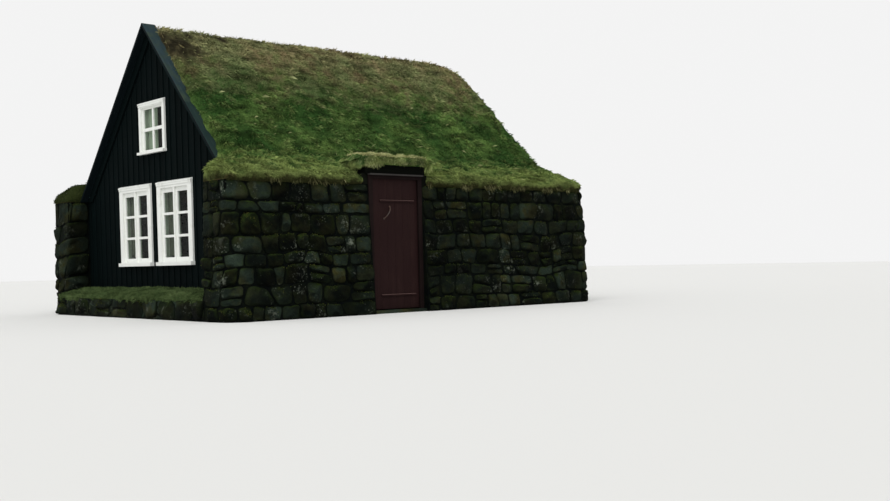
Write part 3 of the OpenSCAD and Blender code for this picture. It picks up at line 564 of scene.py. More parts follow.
def moss_cushion():
    made, tree, shader, position = new_material("moss")
    cloud = noise_of(tree, position, 5.0, 4.0)
    light = mix(tree, ramp(tree, cloud, 0.4, 0.6), srgb(58, 70, 30), srgb(92, 92, 46))
    feed(tree, shader, colour=mix(tree, attribute(tree, "tint"), srgb(22, 30, 14), light))
    matt(shader, 0.03, 1.0)
    return made


def white_paint():
    """Oil paint on wood, with brush marks, patches of grime and small chips."""
    made, tree, shader, position = new_material("white paint")
    grain = place(tree, wood_grain, {"Position": position, "Board": 0.0})
    grime = patchy(tree, position, 9.0, 0.66, 0.12)
    chips = patchy(tree, position, 46.0, 0.755, 0.012)
    colour = mix(tree, times(tree, grime, 0.5), srgb(238, 240, 235), srgb(186, 188, 176))
    feed(tree, shader, colour=mix(tree, chips, colour, srgb(150, 146, 134)),
         roughness=ramp(tree, grime, 0.0, 1.0, 0.42, 0.7))
    bump(tree, shader, minus(tree, grain["Height"], chips), 0.0004)
    return made


def iron():
    made, tree, shader, position = new_material("wrought iron")
    rust = patchy(tree, position, 38.0, 0.5, 0.12)
    feed(tree, shader, colour=mix(tree, rust, srgb(66, 59, 55), srgb(70, 46, 34)),
         metallic=ramp(tree, rust, 0.0, 1.0, 0.6, 0.1), roughness=ramp(tree, rust, 0.0, 1.0, 0.55, 0.9))
    bump(tree, shader, noise_of(tree, position, 90.0, 3.0), 0.0015)
    return made


def pane():
    made, tree, shader, position = new_material("window glass")
    # The green-grey tint darkens what is seen through the panes: partly the glass's own tint, partly painted
    # shade
    shader.inputs["Base Color"].default_value = (0.64, 0.72, 0.64, 1.0)
    shader.inputs["IOR"].default_value = 1.08
    shader.inputs["Transmission Weight"].default_value = 1.0
    matt(shader, 0.1, 0.03)
    bump(tree, shader, noise_of(tree, position, 5.0, 2.0), 0.002, 0.4)
    return made


def net_curtain(name, shaded, lit):
    """Thin net cloth: fine crossed threads, a little see-through, with painted light on the threads and
    painted shade between them.
    """
    made, tree, shader, position = new_material(name)
    threads = [add(tree, "ShaderNodeTexWave", {"Vector": position, "Scale": 90.0, "Distortion": 0.4},
                   bands_direction=axis).outputs["Fac"] for axis in ("X", "Z")]
    weave = maths(tree, "MAXIMUM", *threads)
    feed(tree, shader, colour=mix(tree, weave, shaded, lit), alpha=ramp(tree, weave, 0.3, 0.8, 0.72, 1.0))
    shader.inputs["Roughness"].default_value = 0.95
    shader.inputs["Sheen Weight"].default_value = 0.2
    bump(tree, shader, weave, 0.0006)
    return made


tar = wood("tarred boards", srgb(5, 12, 12), srgb(9, 17, 18), "Z", 0.72, 0.0014, "X", board_w, gloss=0.02)
tar_plain = wood("tarred trim", srgb(5, 12, 12), srgb(9, 17, 18), "Z", 0.72, 0.0012, gloss=0.02)
# Painted reflection of the sky: the right barge board's tar gets a teal sheen, the left one is plain tar
barge_sheen_wood = wood("barge board with painted sheen", srgb(12, 27, 27), srgb(27, 46, 46), "RIGHT_SLOPE", 0.78, 0.0012,
                  wear=0.45, gloss=0.02)
cap_paint = {side: verge_paint("verge paint " + side.lower(), side + "_SLOPE") for side in ("RIGHT", "LEFT")}
bare = {along: wood("bare timber " + along.lower(), srgb(62, 49, 36), srgb(98, 80, 58), along)
        for along in ("X", "Y", "RIGHT_SLOPE")}
floor_wood = wood("floor boards", srgb(56, 45, 33), srgb(90, 76, 58), "Y", 0.75, 0.0014, "X", floor_board_w)
sarking_wood = wood("roof boarding", srgb(62, 50, 36), srgb(96, 80, 60), "Y", 0.8, 0.0014, "Z",
                    sarking_w * math.sin(pitch))
grey = {along: wood("weathered timber " + along.lower(), srgb(70, 68, 62), srgb(112, 108, 98), along)
        for along in ("X", "Z", "RIGHT_SLOPE")}
old_beam = wood("old beams", srgb(8, 10, 7), srgb(28, 30, 24), "Y", 0.85, 0.003, wear=0.6, gloss=0.02)
drip_wood = wood("drip board", srgb(40, 38, 37), srgb(70, 68, 66), "Y", 0.75, 0.0015, wear=0.45, gloss=0.04)
# The door's upper faces, such as the top edges of its ledges, get a painted highlight
door_paint = wood("door paint", srgb(34, 20, 20), srgb(48, 33, 31), "Z", 0.62, 0.0012, gloss=0.04,
                  lit_tops=srgb(100, 80, 76))
frame_paint = wood("door frame paint", srgb(20, 13, 13), srgb(34, 25, 24), "Z", 0.7, 0.0012, gloss=0.04)
stone = rubble_stone()
core = wall_core()
flag = flagstone()
earth = turf_earth()
sward_ground = sward_turf()
blade = grass_blade()
moss = moss_cushion()
white = white_paint()
dark_iron = iron()
glass = pane()
# The same net cloth twice: painted shade makes the downstairs copy darker, painted light makes the upstairs
# copy paler
net = net_curtain("net curtain", srgb(80, 79, 71), srgb(126, 124, 114))
lit_net = net_curtain("lit net curtain", srgb(176, 182, 170), srgb(232, 236, 226))

NODE_FINISH = {
    "right_wall_front": core, "right_wall_rear": core, "left_wall": core, "rear_wall": core,
    "front_ledge": core, "rear_gable_turf": earth, "front_ledge_turf": earth,
    "roof_turf_right": earth, "roof_turf_left": earth, "door_hood_turf": earth,
    "gable_boards": tar, "barge_board_right": barge_sheen_wood, "barge_board_left": tar_plain,
    "verge_cap_right": cap_paint["RIGHT"], "verge_cap_left": cap_paint["LEFT"],
    "gable_sill_beam": grey["X"], "gable_posts": grey["Z"], "gable_rails": grey["X"],
    "gable_rafters": grey["RIGHT_SLOPE"], "wall_plates": bare["Y"], "tie_beams": bare["X"],
    "rafters": bare["RIGHT_SLOPE"], "ridge_board": bare["Y"], "sarking_right": sarking_wood,
    "sarking_left": sarking_wood, "floor_sleepers": bare["X"], "floor_boards": floor_wood,
    "loft_floor": floor_wood, "left_window_casing": white, "right_window_casing": white,
    "upper_window_casing": white, "left_window_sashes": white, "right_window_sashes": white,
    "upper_window_sash": white, "window_glass": glass, "curtains": net, "door_frame": frame_paint,
    "door_head_beams": old_beam, "passage_timbers": old_beam, "door_drip_board": drip_wood,
    "passage_flagstones": flag, "door_pintles": dark_iron, "door_leaf": door_paint,
    "door_pull": dark_iron, "door_straps": dark_iron,
}

# Width of the rounded edges that a node's solids get, in metres
NODE_EDGE = {
    "left_window_casing": 0.004, "right_window_casing": 0.004, "upper_window_casing": 0.004,
    "left_window_sashes": 0.003, "right_window_sashes": 0.003, "upper_window_sash": 0.003,
    "verge_cap_right": 0.006, "verge_cap_left": 0.006, "barge_board_right": 0.004,
    "barge_board_left": 0.004, "door_head_beams": 0.014, "passage_timbers": 0.008,
    "door_drip_board": 0.004, "door_frame": 0.004, "passage_flagstones": 0.010, "rafters": 0.004,
    "tie_beams": 0.005, "wall_plates": 0.004, "door_pull": 0.0015, "door_straps": 0.001,
}


def finish_nodes():
    """Gives every node of the frame its material, and eased edges where the real piece has them."""
    for name, piece in nodes.items():
        piece.data.materials.clear()
        piece.data.materials.append(NODE_FINISH[name])
        if name in NODE_EDGE:
            eased = piece.modifiers.new("eased edges", "BEVEL")
            eased.width = NODE_EDGE[name]
            eased.segments = 2
            eased.limit_method = "ANGLE"
            eased.angle_limit = math.radians(35)


# Mesh building

def put_in_scene(name, mesh, material, body, smooth):
    """Turns a mesh into a piece that has a material and rides on a body."""
    mesh.polygons.foreach_set("use_smooth", [smooth] * len(mesh.polygons))
    mesh.materials.append(material)
    piece = bpy.data.objects.new(name, mesh)
    bpy.context.scene.collection.objects.link(piece)
    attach(piece, body)
    return piece


def new_piece(name, points, faces, material, values=None):
    """Makes one smooth piece of the house. Values are named numbers, one for each point."""
    mesh = bpy.data.meshes.new(name)
    mesh.from_pydata(points, [], faces)
    mesh.update()
    for label, numbers in (values or {}).items():
        mesh.attributes.new(label, "FLOAT", "POINT").data.foreach_set("value", np.asarray(numbers, "f"))
    return put_in_scene(name, mesh, material, "house", True)


def piece_from(shape, name, material, body="house"):
    """Makes one flat-faced piece from a bmesh."""
    mesh = bpy.data.meshes.new(name)
    shape.to_mesh(mesh)
    shape.free()
    return put_in_scene(name, mesh, material, body, False)


def grid_faces(rows, columns):
    """Faces between the points of a grid, listed row by row, that has so many faces each way."""
    stride = columns + 1
    corners = [row * stride + one for row in range(rows) for one in range(columns)]
    return [(corner, corner + 1, corner + stride + 1, corner + stride) for corner in corners]


def solids_tree(names):
    """A search tree over the faces of some nodes' solids."""
    points, faces = [], []
    for name in names:
        piece = nodes[name]
        start = len(points)
        points += [piece.matrix_world @ corner.co for corner in piece.data.vertices]
        faces += [[start + index for index in face.vertices] for face in piece.data.polygons]
    return BVHTree.FromPolygons(points, faces)


def chamfered_box(shape, lowest, highest, edge):
    """Adds one box with chamfered edges to a bmesh."""
    size = Vector(highest) - Vector(lowest)
    made = bmesh.ops.create_cube(shape, size=1.0)
    bmesh.ops.scale(shape, vec=size, verts=made["verts"])
    bmesh.ops.translate(shape, vec=(Vector(highest) + Vector(lowest)) / 2, verts=made["verts"])
    edges = list({link for corner in made["verts"] for link in corner.link_edges})
    bmesh.ops.bevel(shape, geom=edges, offset=edge, segments=1, affect="EDGES")


# Dry-stone walls

def foot_line(corners, radii):
    """Points, outward normals and distances along a wall's foot, with the corners rounded."""
    step = 0.01
    corners = [np.array(corner, float) for corner in corners]
    points = [corners[0]]
    for before, corner, after, radius in zip(corners, corners[1:], corners[2:], radii):
        way_in = (corner - before) / np.linalg.norm(corner - before)
        way_out = (after - corner) / np.linalg.norm(after - corner)
        start, end = corner - way_in * radius, corner + way_out * radius
        for share in np.linspace(0, 1, 9):
            points.append((1 - share) ** 2 * start + 2 * share * (1 - share) * corner + share ** 2 * end)
    points = np.array(points + [corners[-1]])
    lengths = np.concatenate([[0], np.cumsum(np.linalg.norm(np.diff(points, axis=0), axis=1))])
    along = np.arange(0, lengths[-1], step)
    line = np.stack([np.interp(along, lengths, points[:, axis]) for axis in (0, 1)], 1)
    way = np.gradient(line, axis=0)
    way /= np.linalg.norm(way, axis=1, keepdims=True)
    return along, line, np.stack([way[:, 1], -way[:, 0]], 1)


def stone_cells(rng, span, heights, course, length):
    """Outlines of the stones: rough courses of squarish blocks, with some low ones laid in pairs."""
    rows = max(1, round((heights[1] - heights[0]) / course))
    levels = np.linspace(*heights, rows + 1)
    levels[1:-1] += rng.uniform(-0.20, 0.20, rows - 1) * course
    cells = []
    for lower, upper in zip(levels, levels[1:]):
        left = np.array([span[0], span[0]])
        while left[0] < span[1]:
            right = left.mean() + length * rng.lognormal(-0.05, 0.30) + rng.normal(size=2) * 0.10 * length
            if span[1] - right.mean() < 0.6 * length:
                right = np.array([span[1], span[1]])
            if rng.uniform() < 0.13 * (right - left).mean() / length:
                split = 0.5 + rng.uniform(-0.12, 0.12, 2)
                near = (left[0] + (left[1] - left[0]) * split[0], lower + (upper - lower) * split[0])
                far = (right[0] + (right[1] - right[0]) * split[1], lower + (upper - lower) * split[1])
                cells.append([(left[0], lower), (right[0], lower), far, near])
                cells.append([near, far, (right[1], upper), (left[1], upper)])
            else:
                cells.append([(left[0], lower), (right[0], lower), (right[1], upper), (left[1], upper)])
            left = right
    return [np.array(cell) for cell in cells]


def stone_outline(cell, sharpness, directions):
    """Middle of a stone and the distance from it to the stone's rounded edge in each direction."""
    way = np.roll(cell, -1, axis=0) - cell
    long = np.linalg.norm(way, axis=1)
    real = long > shortest_side
    cell, way = cell[real], way[real] / long[real, None]
    middle = cell.mean(0)
    normals = np.stack([way[:, 1], -way[:, 0]], 1)
    reach = np.maximum(((cell - middle) * normals).sum(1) - joint / 2, narrowest_half)
    pull = np.maximum(normals @ directions.T, 0) / reach[:, None]
    return middle, (pull ** sharpness).sum(0) ** (-1 / sharpness)


def split_faces(rng):
    """How a stone's face leans, how round its rim is, and the five slanting faces that it was split to."""
    return {"roundness": rng.uniform(2.0, 5), "tilt": (rng.uniform(0, 2 * math.pi), rng.uniform(0, 0.16)),
            "chips": [(rng.uniform(0, 2 * math.pi), rng.uniform(0.2, 1.1), rng.uniform(0.7, 1.2))
                      for _ in range(5)]}


def stone_face(spots, share, size, proud, facets):
    """Height of a stone's face at some spots: rounded at the edge, split into slanting facets."""
    angle, steep = facets["tilt"]
    leaning = (spots[:, 0] * math.cos(angle) + spots[:, 1] * math.sin(angle)) * steep
    height = np.full(len(spots), proud * (1 - share ** facets["roundness"]) ** 0.55) + leaning
    for angle, steep, top in facets["chips"]:
        slope = (spots[:, 0] * math.cos(angle) + spots[:, 1] * math.sin(angle)) / size
        height = np.minimum(height, proud * (top - steep * slope))
    return height


def roughened(spot, height, own):
    """Height of a stone's face with its own roughness, kept clear of the wall's core."""
    rough = noise.noise(Vector((*spot * 17, own * 9))) + 0.5 * noise.noise(Vector((*spot * 43, 3)))
    return max(height + stone_rough * rough, stone_least)


def ring_faces(start):
    """Faces between a stone's rings of points, and the fan in its middle."""
    faces = []
    rings = len(stone_rings) - 2
    for ring in range(rings):
        for side in range(stone_sides):
            one = start + ring * stone_sides + side
            two = start + ring * stone_sides + (side + 1) % stone_sides
            faces.append((one, two, two + stone_sides, one + stone_sides))
    last = start + rings * stone_sides
    return faces + [(last + side, last + (side + 1) % stone_sides, last + stone_sides)
                    for side in range(stone_sides)]


def rubble(name, line, span, heights, seed, tree, course=course_h, length=stone_l, bulge=stone_bulge,
           paler=0.0, squareness=(4, 11)):
    """Lays one face of a wall with separate field stones, each one split and tilted a little."""
    rng = np.random.default_rng(seed)
    turns = np.linspace(0, 2 * math.pi, stone_sides, endpoint=False)
    directions = np.stack([np.cos(turns), np.sin(turns)], 1)
    points, faces, tints, rims = [], [], [], []
    for cell in stone_cells(rng, span, heights, course, length):
        middle, edge = stone_outline(cell, rng.uniform(*squareness), directions)
        edge = edge * rng.uniform(0.94, 1.04)
        wobble = [noise.noise(Vector((*(middle + way * 0.1) * 11, seed))) for way in directions]
        edge = edge * (1 + 0.18 * np.array(wobble))
        proud = bulge * rng.uniform(0.35, 1.15)
        facets = split_faces(rng)
        start, own = len(points), rng.uniform()
        for ring, share in enumerate(stone_rings):
            spots = directions * (edge * share)[:, None] if share else np.zeros((1, 2))
            raised = stone_face(spots, share, edge.mean(), proud, facets)
            if ring == 0:
                raised = np.full(len(spots), -stone_depth)
            spots = spots + middle
            spots[:, 0] = spots[:, 0].clip(span[0] + stone_end_gap, span[1] - stone_end_gap)
            for spot, height in zip(spots, raised):
                if height > -stone_depth:
                    height = roughened(spot, height, own)
                points.append(surface_point(tree, line, wave_courses(spot, heights), height))
                rims.append(share)
                tints.append(own ** 1.6 + paler)
        faces += ring_faces(start)
    return new_piece(name, points, faces, stone, values={"tint": tints, "rim": rims})


def wave_courses(spot, heights):
    """Lets the courses rise and fall a little, but not at the foot or the top."""
    share = (spot[1] - heights[0]) / (heights[1] - heights[0])
    wave = 0.36 * share * (1 - share) * noise.noise(Vector((spot[0] * 1.5, spot[1] * 0.8, 5)))
    return (spot[0], max(spot[1] + wave, 0.0))


def surface_point(tree, line, spot, raised):
    """The point at a distance along a wall's foot and a height, raised from the solid's own face."""
    along, foot, outward = line
    here = [np.interp(spot[0], along, foot[:, axis]) for axis in (0, 1)]
    normal = Vector([np.interp(spot[0], along, outward[:, axis]) for axis in (0, 1)] + [0]).normalized()
    outside = Vector((here[0], here[1], min(max(spot[1], 0.01), wall_h - 0.01))) + normal * 0.3
    hit = tree.ray_cast(outside, -normal, 0.6)[0] or outside - normal * 0.3
    return Vector((hit.x, hit.y, spot[1])) + normal * raised


def lay_walls():
    """The outer faces of the four walls, with bigger stones at the left front corner, and their moss."""
    walls = solids_tree(["right_wall_front", "right_wall_rear", "left_wall", "rear_wall"])
    around = foot_line([(wing_x, gable_y), (wing_x, front_y), (out_x, front_y), (out_x, rear_y),
                        (-out_x, rear_y), (-out_x, left_front_y), (-wing_x, left_front_y),
                        (-wing_x, gable_y)], [wing_corner_r] + [house_corner_r] * 4 + [wing_corner_r])
    along, foot, _ = around
    on_right = foot[:, 0] > out_x - 0.001
    before_door = along[on_right & (foot[:, 1] < door_y0)].max()
    after_door = along[on_right & (foot[:, 1] > door_y1)].min()
    rear_middle = along[np.argmin(np.abs(foot[:, 0]) + np.abs(foot[:, 1] - rear_y))]
    big_stones = along[(foot[:, 0] < -out_x + 0.001) & (foot[:, 1] < left_front_y + 0.7)].min()
    heights = (0.0, wall_h)
    front = rubble("stones_right_front", around, (0.0, before_door), heights, 11, walls)
    rear = rubble("stones_right_rear", around, (after_door, rear_middle), heights, 12, walls)
    left = rubble("stones_left", around, (rear_middle, big_stones), heights, 13, walls)
    corner = rubble("stones_left_corner", around, (big_stones, along[-1]), heights, 17, walls,
                    1.45 * course_h, 1.5 * stone_l, paler=0.3)
    grow_moss("moss_right_front", front, 5000, 14)
    grow_moss("moss_right_rear", rear, 6000, 15)
    grow_moss("moss_left", left, 8000, 16)
    grow_moss("moss_left_corner", corner, 1500, 18)


def lay_ledge():
    tree = solids_tree(["front_ledge"])
    line = foot_line([(-wing_x, left_front_y), (-wing_x, front_y), (wing_x, front_y)], [ledge_corner_r])
    ledge = rubble("stones_ledge", line, (0.0, line[0][-1]), (0.0, ledge_h), 21, tree, course=0.26,
                   length=0.42, bulge=0.075, paler=0.1, squareness=(2.6, 4.5))
    grow_moss("moss_ledge", ledge, 1800, 22)


def lay_passage():
    """Stones on both sides of the passage, inside the door frame."""
    heights = (high("passage_flagstones").z, wall_h)
    for label, ends, seed in (("front", [(frame_x0, door_y0), (in_x, door_y0)], 31),
                              ("rear", [(in_x, door_y1), (frame_x0, door_y1)], 32)):
        inner = foot_line(ends, [])
        rubble("stones_passage_" + label, inner, (0.0, inner[0][-1]), heights, seed,
               solids_tree(["right_wall_" + label]), bulge=0.02)


# Turf

def turf_skin():
    """Points, normals and faces of the turf's outer surface, at an even mesh size."""
    shape = bmesh.new()
    for name in TURF_NODES:
        copy = nodes[name].data.copy()
        copy.transform(nodes[name].matrix_world)
        shape.from_mesh(copy)
        bpy.data.meshes.remove(copy)
    mesh = bpy.data.meshes.new("turf skin")
    shape.to_mesh(mesh)
    shape.free()
    whole = bpy.data.objects.new("turf skin", mesh)
    bpy.context.scene.collection.objects.link(whole)
    remesh = whole.modifiers.new("even mesh", "REMESH")
    remesh.mode = "VOXEL"
    remesh.voxel_size = sward_cell
    even = whole.evaluated_get(bpy.context.evaluated_depsgraph_get()).to_mesh()
    points = np.empty(len(even.vertices) * 3)
    normals = np.empty(len(even.vertices) * 3)
    even.vertices.foreach_get("co", points)
    even.vertices.foreach_get("normal", normals)
    faces = np.array([face.vertices[:] for face in even.polygons if len(face.vertices) == 4])
    bpy.data.objects.remove(whole)
    return points.reshape(-1, 3), normals.reshape(-1, 3), faces


def open_faces(points, normals, faces):
    """Leaves out the faces that lie against another piece."""
    others = solids_tree([name for name in nodes if name not in TURF_NODES])
    kept = []
    for middle, way, face in zip(points[faces].mean(1), normals[faces].mean(1), faces):
        origin, direction = Vector(middle), Vector(way).normalized()
        if others.ray_cast(origin - direction * 0.02, direction, 0.09)[0] is None:
            kept.append(face)
    return np.array(kept)


def lumps(spots):
    """Hummocks of the turf, from 0 to 1."""
    return np.array([0.5 + 0.38 * noise.noise(Vector(spot) * 2.3) + 0.22 * noise.noise(Vector(spot) * 7.1)
                     for spot in spots]).clip(0, 1)


def bareness(spots):
    """Share of bare earth at the top of the right slope: a broken patch by the verge cap and two pockets."""
    ragged = np.array([noise.noise(Vector(spot) * 11) for spot in spots])
    share = np.zeros(len(spots))
    for middle_y, wide, deep in ((cap_back_y + 0.14, 0.40, 0.36), (gable_y + 0.46, 0.09, 0.10),
                                 (gable_y + 0.97, 0.10, 0.09)):
        patch = np.array([0.06 + deep, middle_y, ridge_z - 0.02 - deep * 0.5])
        away = np.sqrt((((spots - patch) / np.array([deep, wide, deep])) ** 2).sum(1))
        share = np.maximum(share, (1.35 - away + 0.5 * ragged).clip(0, 1))
    return share


def make_sward():
    """The lumpy ground that the grass grows from, over all the turf."""
    points, normals, faces = turf_skin()
    faces = open_faces(points, normals, faces)
    used = np.unique(faces)
    renumber = np.zeros(len(points), int)
    renumber[used] = np.arange(len(used))
    points, normals, faces = points[used], normals[used], renumber[faces]
    bare_share = bareness(points)
    crumbs = np.array([noise.noise(Vector(spot) * 19) for spot in points])
    lift = sward_low + sward_rise * lumps(points) * (1 - 0.8 * bare_share) + 0.015 * crumbs * bare_share
    points = points + normals * lift[:, None]
    new_piece("turf_sward", points.tolist(), faces.tolist(), sward_ground, {"bare": bare_share})
    return points, faces


class Lawn:
    """Places on a surface where grass or moss can grow."""

    def __init__(self, points, triangles):
        self.corners = points[triangles]
        cross = np.cross(self.corners[:, 1] - self.corners[:, 0], self.corners[:, 2] - self.corners[:, 0])
        self.area = np.linalg.norm(cross, axis=1) / 2
        self.normal = cross / np.maximum(2 * self.area, 1e-12)[:, None]
        self.middle = self.corners.mean(1)

    def pick(self, rng, weight, count):
        """Random spots on the surface and its normals there, more of them where the weight is higher."""
        chance = self.area * weight
        chosen = rng.choice(len(chance), count, p=chance / chance.sum())
        one, two = rng.uniform(size=(2, count))
        over = one + two > 1
        one[over], two[over] = 1 - one[over], 1 - two[over]
        corner = self.corners[chosen]
        spots = (corner[:, 0] + one[:, None] * (corner[:, 1] - corner[:, 0])
                 + two[:, None] * (corner[:, 2] - corner[:, 0]))
        return spots, self.normal[chosen]


def halves(faces):
    """Two triangles for each face with four corners."""
    return np.concatenate([faces[:, [0, 1, 2]], faces[:, [0, 2, 3]]])


def unit(vectors):
    return vectors / np.maximum(np.linalg.norm(vectors, axis=1, keepdims=True), 1e-9)


def on_left_wing(spots):
    return (spots[:, 0] < 0) & (spots[:, 1] < gable_y) & (spots[:, 2] > wall_h)


def grow_grass(name, lawn, weight, count, length, seed, rise=0.5, fall=0.7, width=0.005, dry=0.0, gaps=0.65):
    """Bent blades in tufts. Rise is how far they stand off the ground, and fall how far they hang down."""
    rng = np.random.default_rng(seed)
    roots, normals = lawn.pick(rng, weight, count)
    tuft = np.array([noise.noise(Vector(spot) * 8.7) for spot in roots])
    keep = rng.uniform(size=count) > np.maximum(bareness(roots) * 1.3, gaps * (tuft < -0.12))
    roots, normals, tuft = roots[keep], normals[keep], tuft[keep]
    count = len(roots)

    # Shorter on the ledge and on the wings, shortest on the left wing
    short = np.where((roots[:, 1] < gable_y) & (roots[:, 0] < wing_x), 0.55, 1.0)
    short = np.where(on_left_wing(roots), 0.4, short)
    down = np.array([0, 0, -1.0])
    slope = unit(down - normals * (normals @ down)[:, None])
    swirl = np.array([[noise.noise(Vector(spot) * 3.1),
                       noise.noise(Vector(spot) * 3.1 + Vector((9, 4, 7))), 0] for spot in roots]) * 1.3
    loose = rng.normal(size=(count, 3)) * 0.32
    long = length * short * (1 + 0.8 * tuft) * rng.uniform(0.6, 1.3, count)
    way = unit(normals * rise + slope * fall + swirl + loose)
    outward = (way * normals).sum(1)
    way = unit(way + normals * np.maximum(0.15 - outward, 0)[:, None])
    side = unit(np.cross(way, rng.normal(size=(count, 3)))) * (width * rng.uniform(0.7, 1.3, count))[:, None]
    bend = roots + way * (long * 0.55)[:, None]
    tip = bend + unit(way + down * 0.75 * rng.uniform(0.4, 1.2, (count, 1))) * (long * 0.5)[:, None]
    roots = roots - normals * root_depth
    points = np.stack([roots - side / 2, roots + side / 2, bend + side * 0.35, tip], 1).reshape(-1, 3)
    blades = np.arange(count * 4).reshape(-1, 4)

    dull = 0.35 * on_left_wing(roots)
    tint = np.repeat((0.48 - dull + 0.6 * tuft + rng.normal(size=count) * 0.10).clip(0, 1), 4)
    dryness = np.repeat((dry + rng.normal(size=count) * 0.15 * (dry > 0)).clip(0, 1), 4)
    return new_piece(name, points.tolist(), halves(blades).tolist(), blade,
                     {"tint": tint, "tip": np.tile([0.0, 0.0, 0.6, 1.0], count), "dry": dryness})


def plant_turf():
    """The sward and its beds of grass, each with its place, number of blades, their length and a seed."""
    points, faces = make_sward()
    lawn = Lawn(points, halves(faces))
    x, y, z = lawn.middle.T
    up = lawn.normal[:, 2]
    ragged = np.array([noise.noise(Vector(spot) * 4.5) for spot in lawn.middle])
    roof = (z > wall_h + 0.12) & (y < rear_y - 0.33)
    rear = (y >= rear_y - 0.33) & (z > wall_h)
    ledge = z < ledge_h + 0.3
    lip = (z > wall_h - 0.1) & (z < wall_h + 0.3) & (np.abs(x) > 2.2)
    by_door = (y > door_y0 - 0.08) & (y < door_y1 + 0.03) & (x > 0)
    underside = lip & (up < 0.35) & (up > -0.85) & (z < wall_h + 0.09)

    hood = (x > 1.9) & (y > door_y0 - 0.2) & (y < door_y1 + 0.2) & (z > wall_h + 0.1)
    hood_edge = x > hood_front - 0.12
    straw = hood & by_door & (x > hood_front - 0.38) & ((up > 0.35) | hood_edge)
    hood_sides = (hood & (np.abs(lawn.normal[:, 1]) > 0.3) & (x > hood_front - 0.4)
                  & (z > high("door_head_beams").z))
    ledge_edge = ledge & (lawn.normal[:, 1] < -0.25)

    def bed(name, where, count, length, seed, **habit):
        grow_grass(name, lawn, where, count, length, seed, **habit)

    bed("grass_right", roof & (x > 0) & ~straw, 104000, 0.055, 41)
    bed("grass_left", roof & (x <= 0), 84000, 0.055, 42)
    bed("grass_rear", rear, 38000, 0.055, 43, rise=0.4, fall=0.8)
    bed("grass_fringe", lip & (up < 0.97) & (up > -0.1) & ~by_door, 36000, 0.038, 44, fall=0.5, width=0.004)
    bed("grass_hanging", underside & (ragged > 0.12) & ~by_door, 3600, 0.06, 47, rise=0.35, fall=1.3,
        dry=0.10, gaps=0.9)
    bed("grass_hood", straw & (up > 0.5), 8000, 0.034, 45, rise=0.9, fall=0.1, dry=0.95, gaps=0.2)
    # Little dry colour on the hood's front face: partly greener grass, partly painted shade under the straw
    # top
    bed("grass_hood_face", straw & (up <= 0.5) & (up > -0.5), 3200, 0.03, 51, rise=0.6, fall=0.6, dry=0.2,
        gaps=0.2)
    bed("grass_hood_hanging", hood & by_door & hood_edge & (ragged > 0.0), 1300, 0.045, 48, fall=1.0,
        dry=0.4, gaps=0.3)
    bed("grass_hood_sides", hood_sides, 6500, 0.085, 50, rise=0.25, fall=2.2, width=0.0035, dry=0.06,
        gaps=0.3)
    bed("grass_ledge", ledge & (up > 0.1), 12000, 0.05, 46, rise=0.9, fall=0.2, gaps=0.3)
    bed("grass_ledge_edge", ledge_edge & (ragged > -0.2), 2600, 0.07, 52, rise=0.75, fall=0.8, gaps=0.6)
    bed("stalks", roof & (z < ridge_z - 0.3), 260, 0.11, 49, rise=0.9, fall=0.5, width=0.0022, dry=0.35,
        gaps=0.0)


def grow_moss(name, wall, count, seed):
    """Cushions of moss on the upper edges of a wall's stones."""
    rng = np.random.default_rng(seed)
    points = np.array([corner.co for corner in wall.data.vertices])
    lawn = Lawn(points, np.array([part.vertices[:] for part in wall.data.loop_triangles]))
    cushion = np.array([noise.noise(Vector(spot) * 3.3) + 0.5 * noise.noise(Vector(spot) * 12)
                        for spot in lawn.middle])
    weight = (lawn.normal[:, 2] > 0.3) * (cushion > 0.12) * (lawn.middle[:, 2] > 0.02)
    roots, normals = lawn.pick(rng, weight, count)
    way = unit(normals + rng.normal(size=(count, 3)) * 0.6 + np.array([0, 0, 0.2]))
    side = unit(np.cross(way, rng.normal(size=(count, 3)))) * moss_half_w
    length = moss_length * rng.uniform(0.5, 1.3, (count, 1))
    foot = roots - normals * moss_depth
    corners = np.stack([foot - side, foot + side, roots + way * length], 1)
    faces = np.arange(count * 3).reshape(-1, 3)
    new_piece(name, corners.reshape(-1, 3).tolist(), faces.tolist(), moss,
              {"tint": np.repeat(rng.uniform(size=count), 3)})


def verge_sod(side):
    """Turf and grass that have crept over a verge cap from behind, further and further down the slope."""
    label = "right" if side > 0 else "left"
    cap = solids_tree(["verge_cap_" + label, "roof_turf_" + label])
    lowest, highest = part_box("verge_cap_" + label)
    start, end = 0.12, max(abs(lowest.x), abs(highest.x))
    rows, columns = 90, 12
    points = []
    for share in (row / rows for row in range(rows + 1)):
        x = side * (start + (end - start - 0.004) * share)
        spread = np.interp(share, creep_places, creep_widths)
        broad, fine = noise.noise(Vector((x * 3.5, 2, side))), noise.noise(Vector((x * 14, 7, side)))
        spread *= 1 + 0.8 * broad + 0.4 * fine
        for across in (column / columns for column in range(columns + 1)):
            y = cap_back_y + 0.10 * (1 - across) - max(spread, 0.006) * across
            hit, normal = cap.ray_cast(Vector((x, y, 6.0)), Vector((0, 0, -1)))[:2]
            if hit is None:
                hit, normal = Vector(points[-1]), Vector((0, 0, 0))
            swell = creep_thick * (1 - across ** 4) * (0.9 + 0.6 * noise.noise(Vector((x * 12, y * 12, 3))))
            points.append(tuple(hit + normal * (swell - 0.003 * across)))
    faces = grid_faces(rows, columns)
    if side < 0:
        faces = [face[::-1] for face in faces]
    new_piece("verge_sod_" + label, points, faces, sward_ground,
              {"bare": bareness(np.array(points)) if side > 0 else [0.0] * len(points)})
    lawn = Lawn(np.array(points), halves(np.array(faces)))
    grow_grass("verge_grass_" + label, lawn, np.ones(len(lawn.area)), 3200, 0.045, 60 + side, fall=0.9,
               gaps=0.3)


# Gable boards

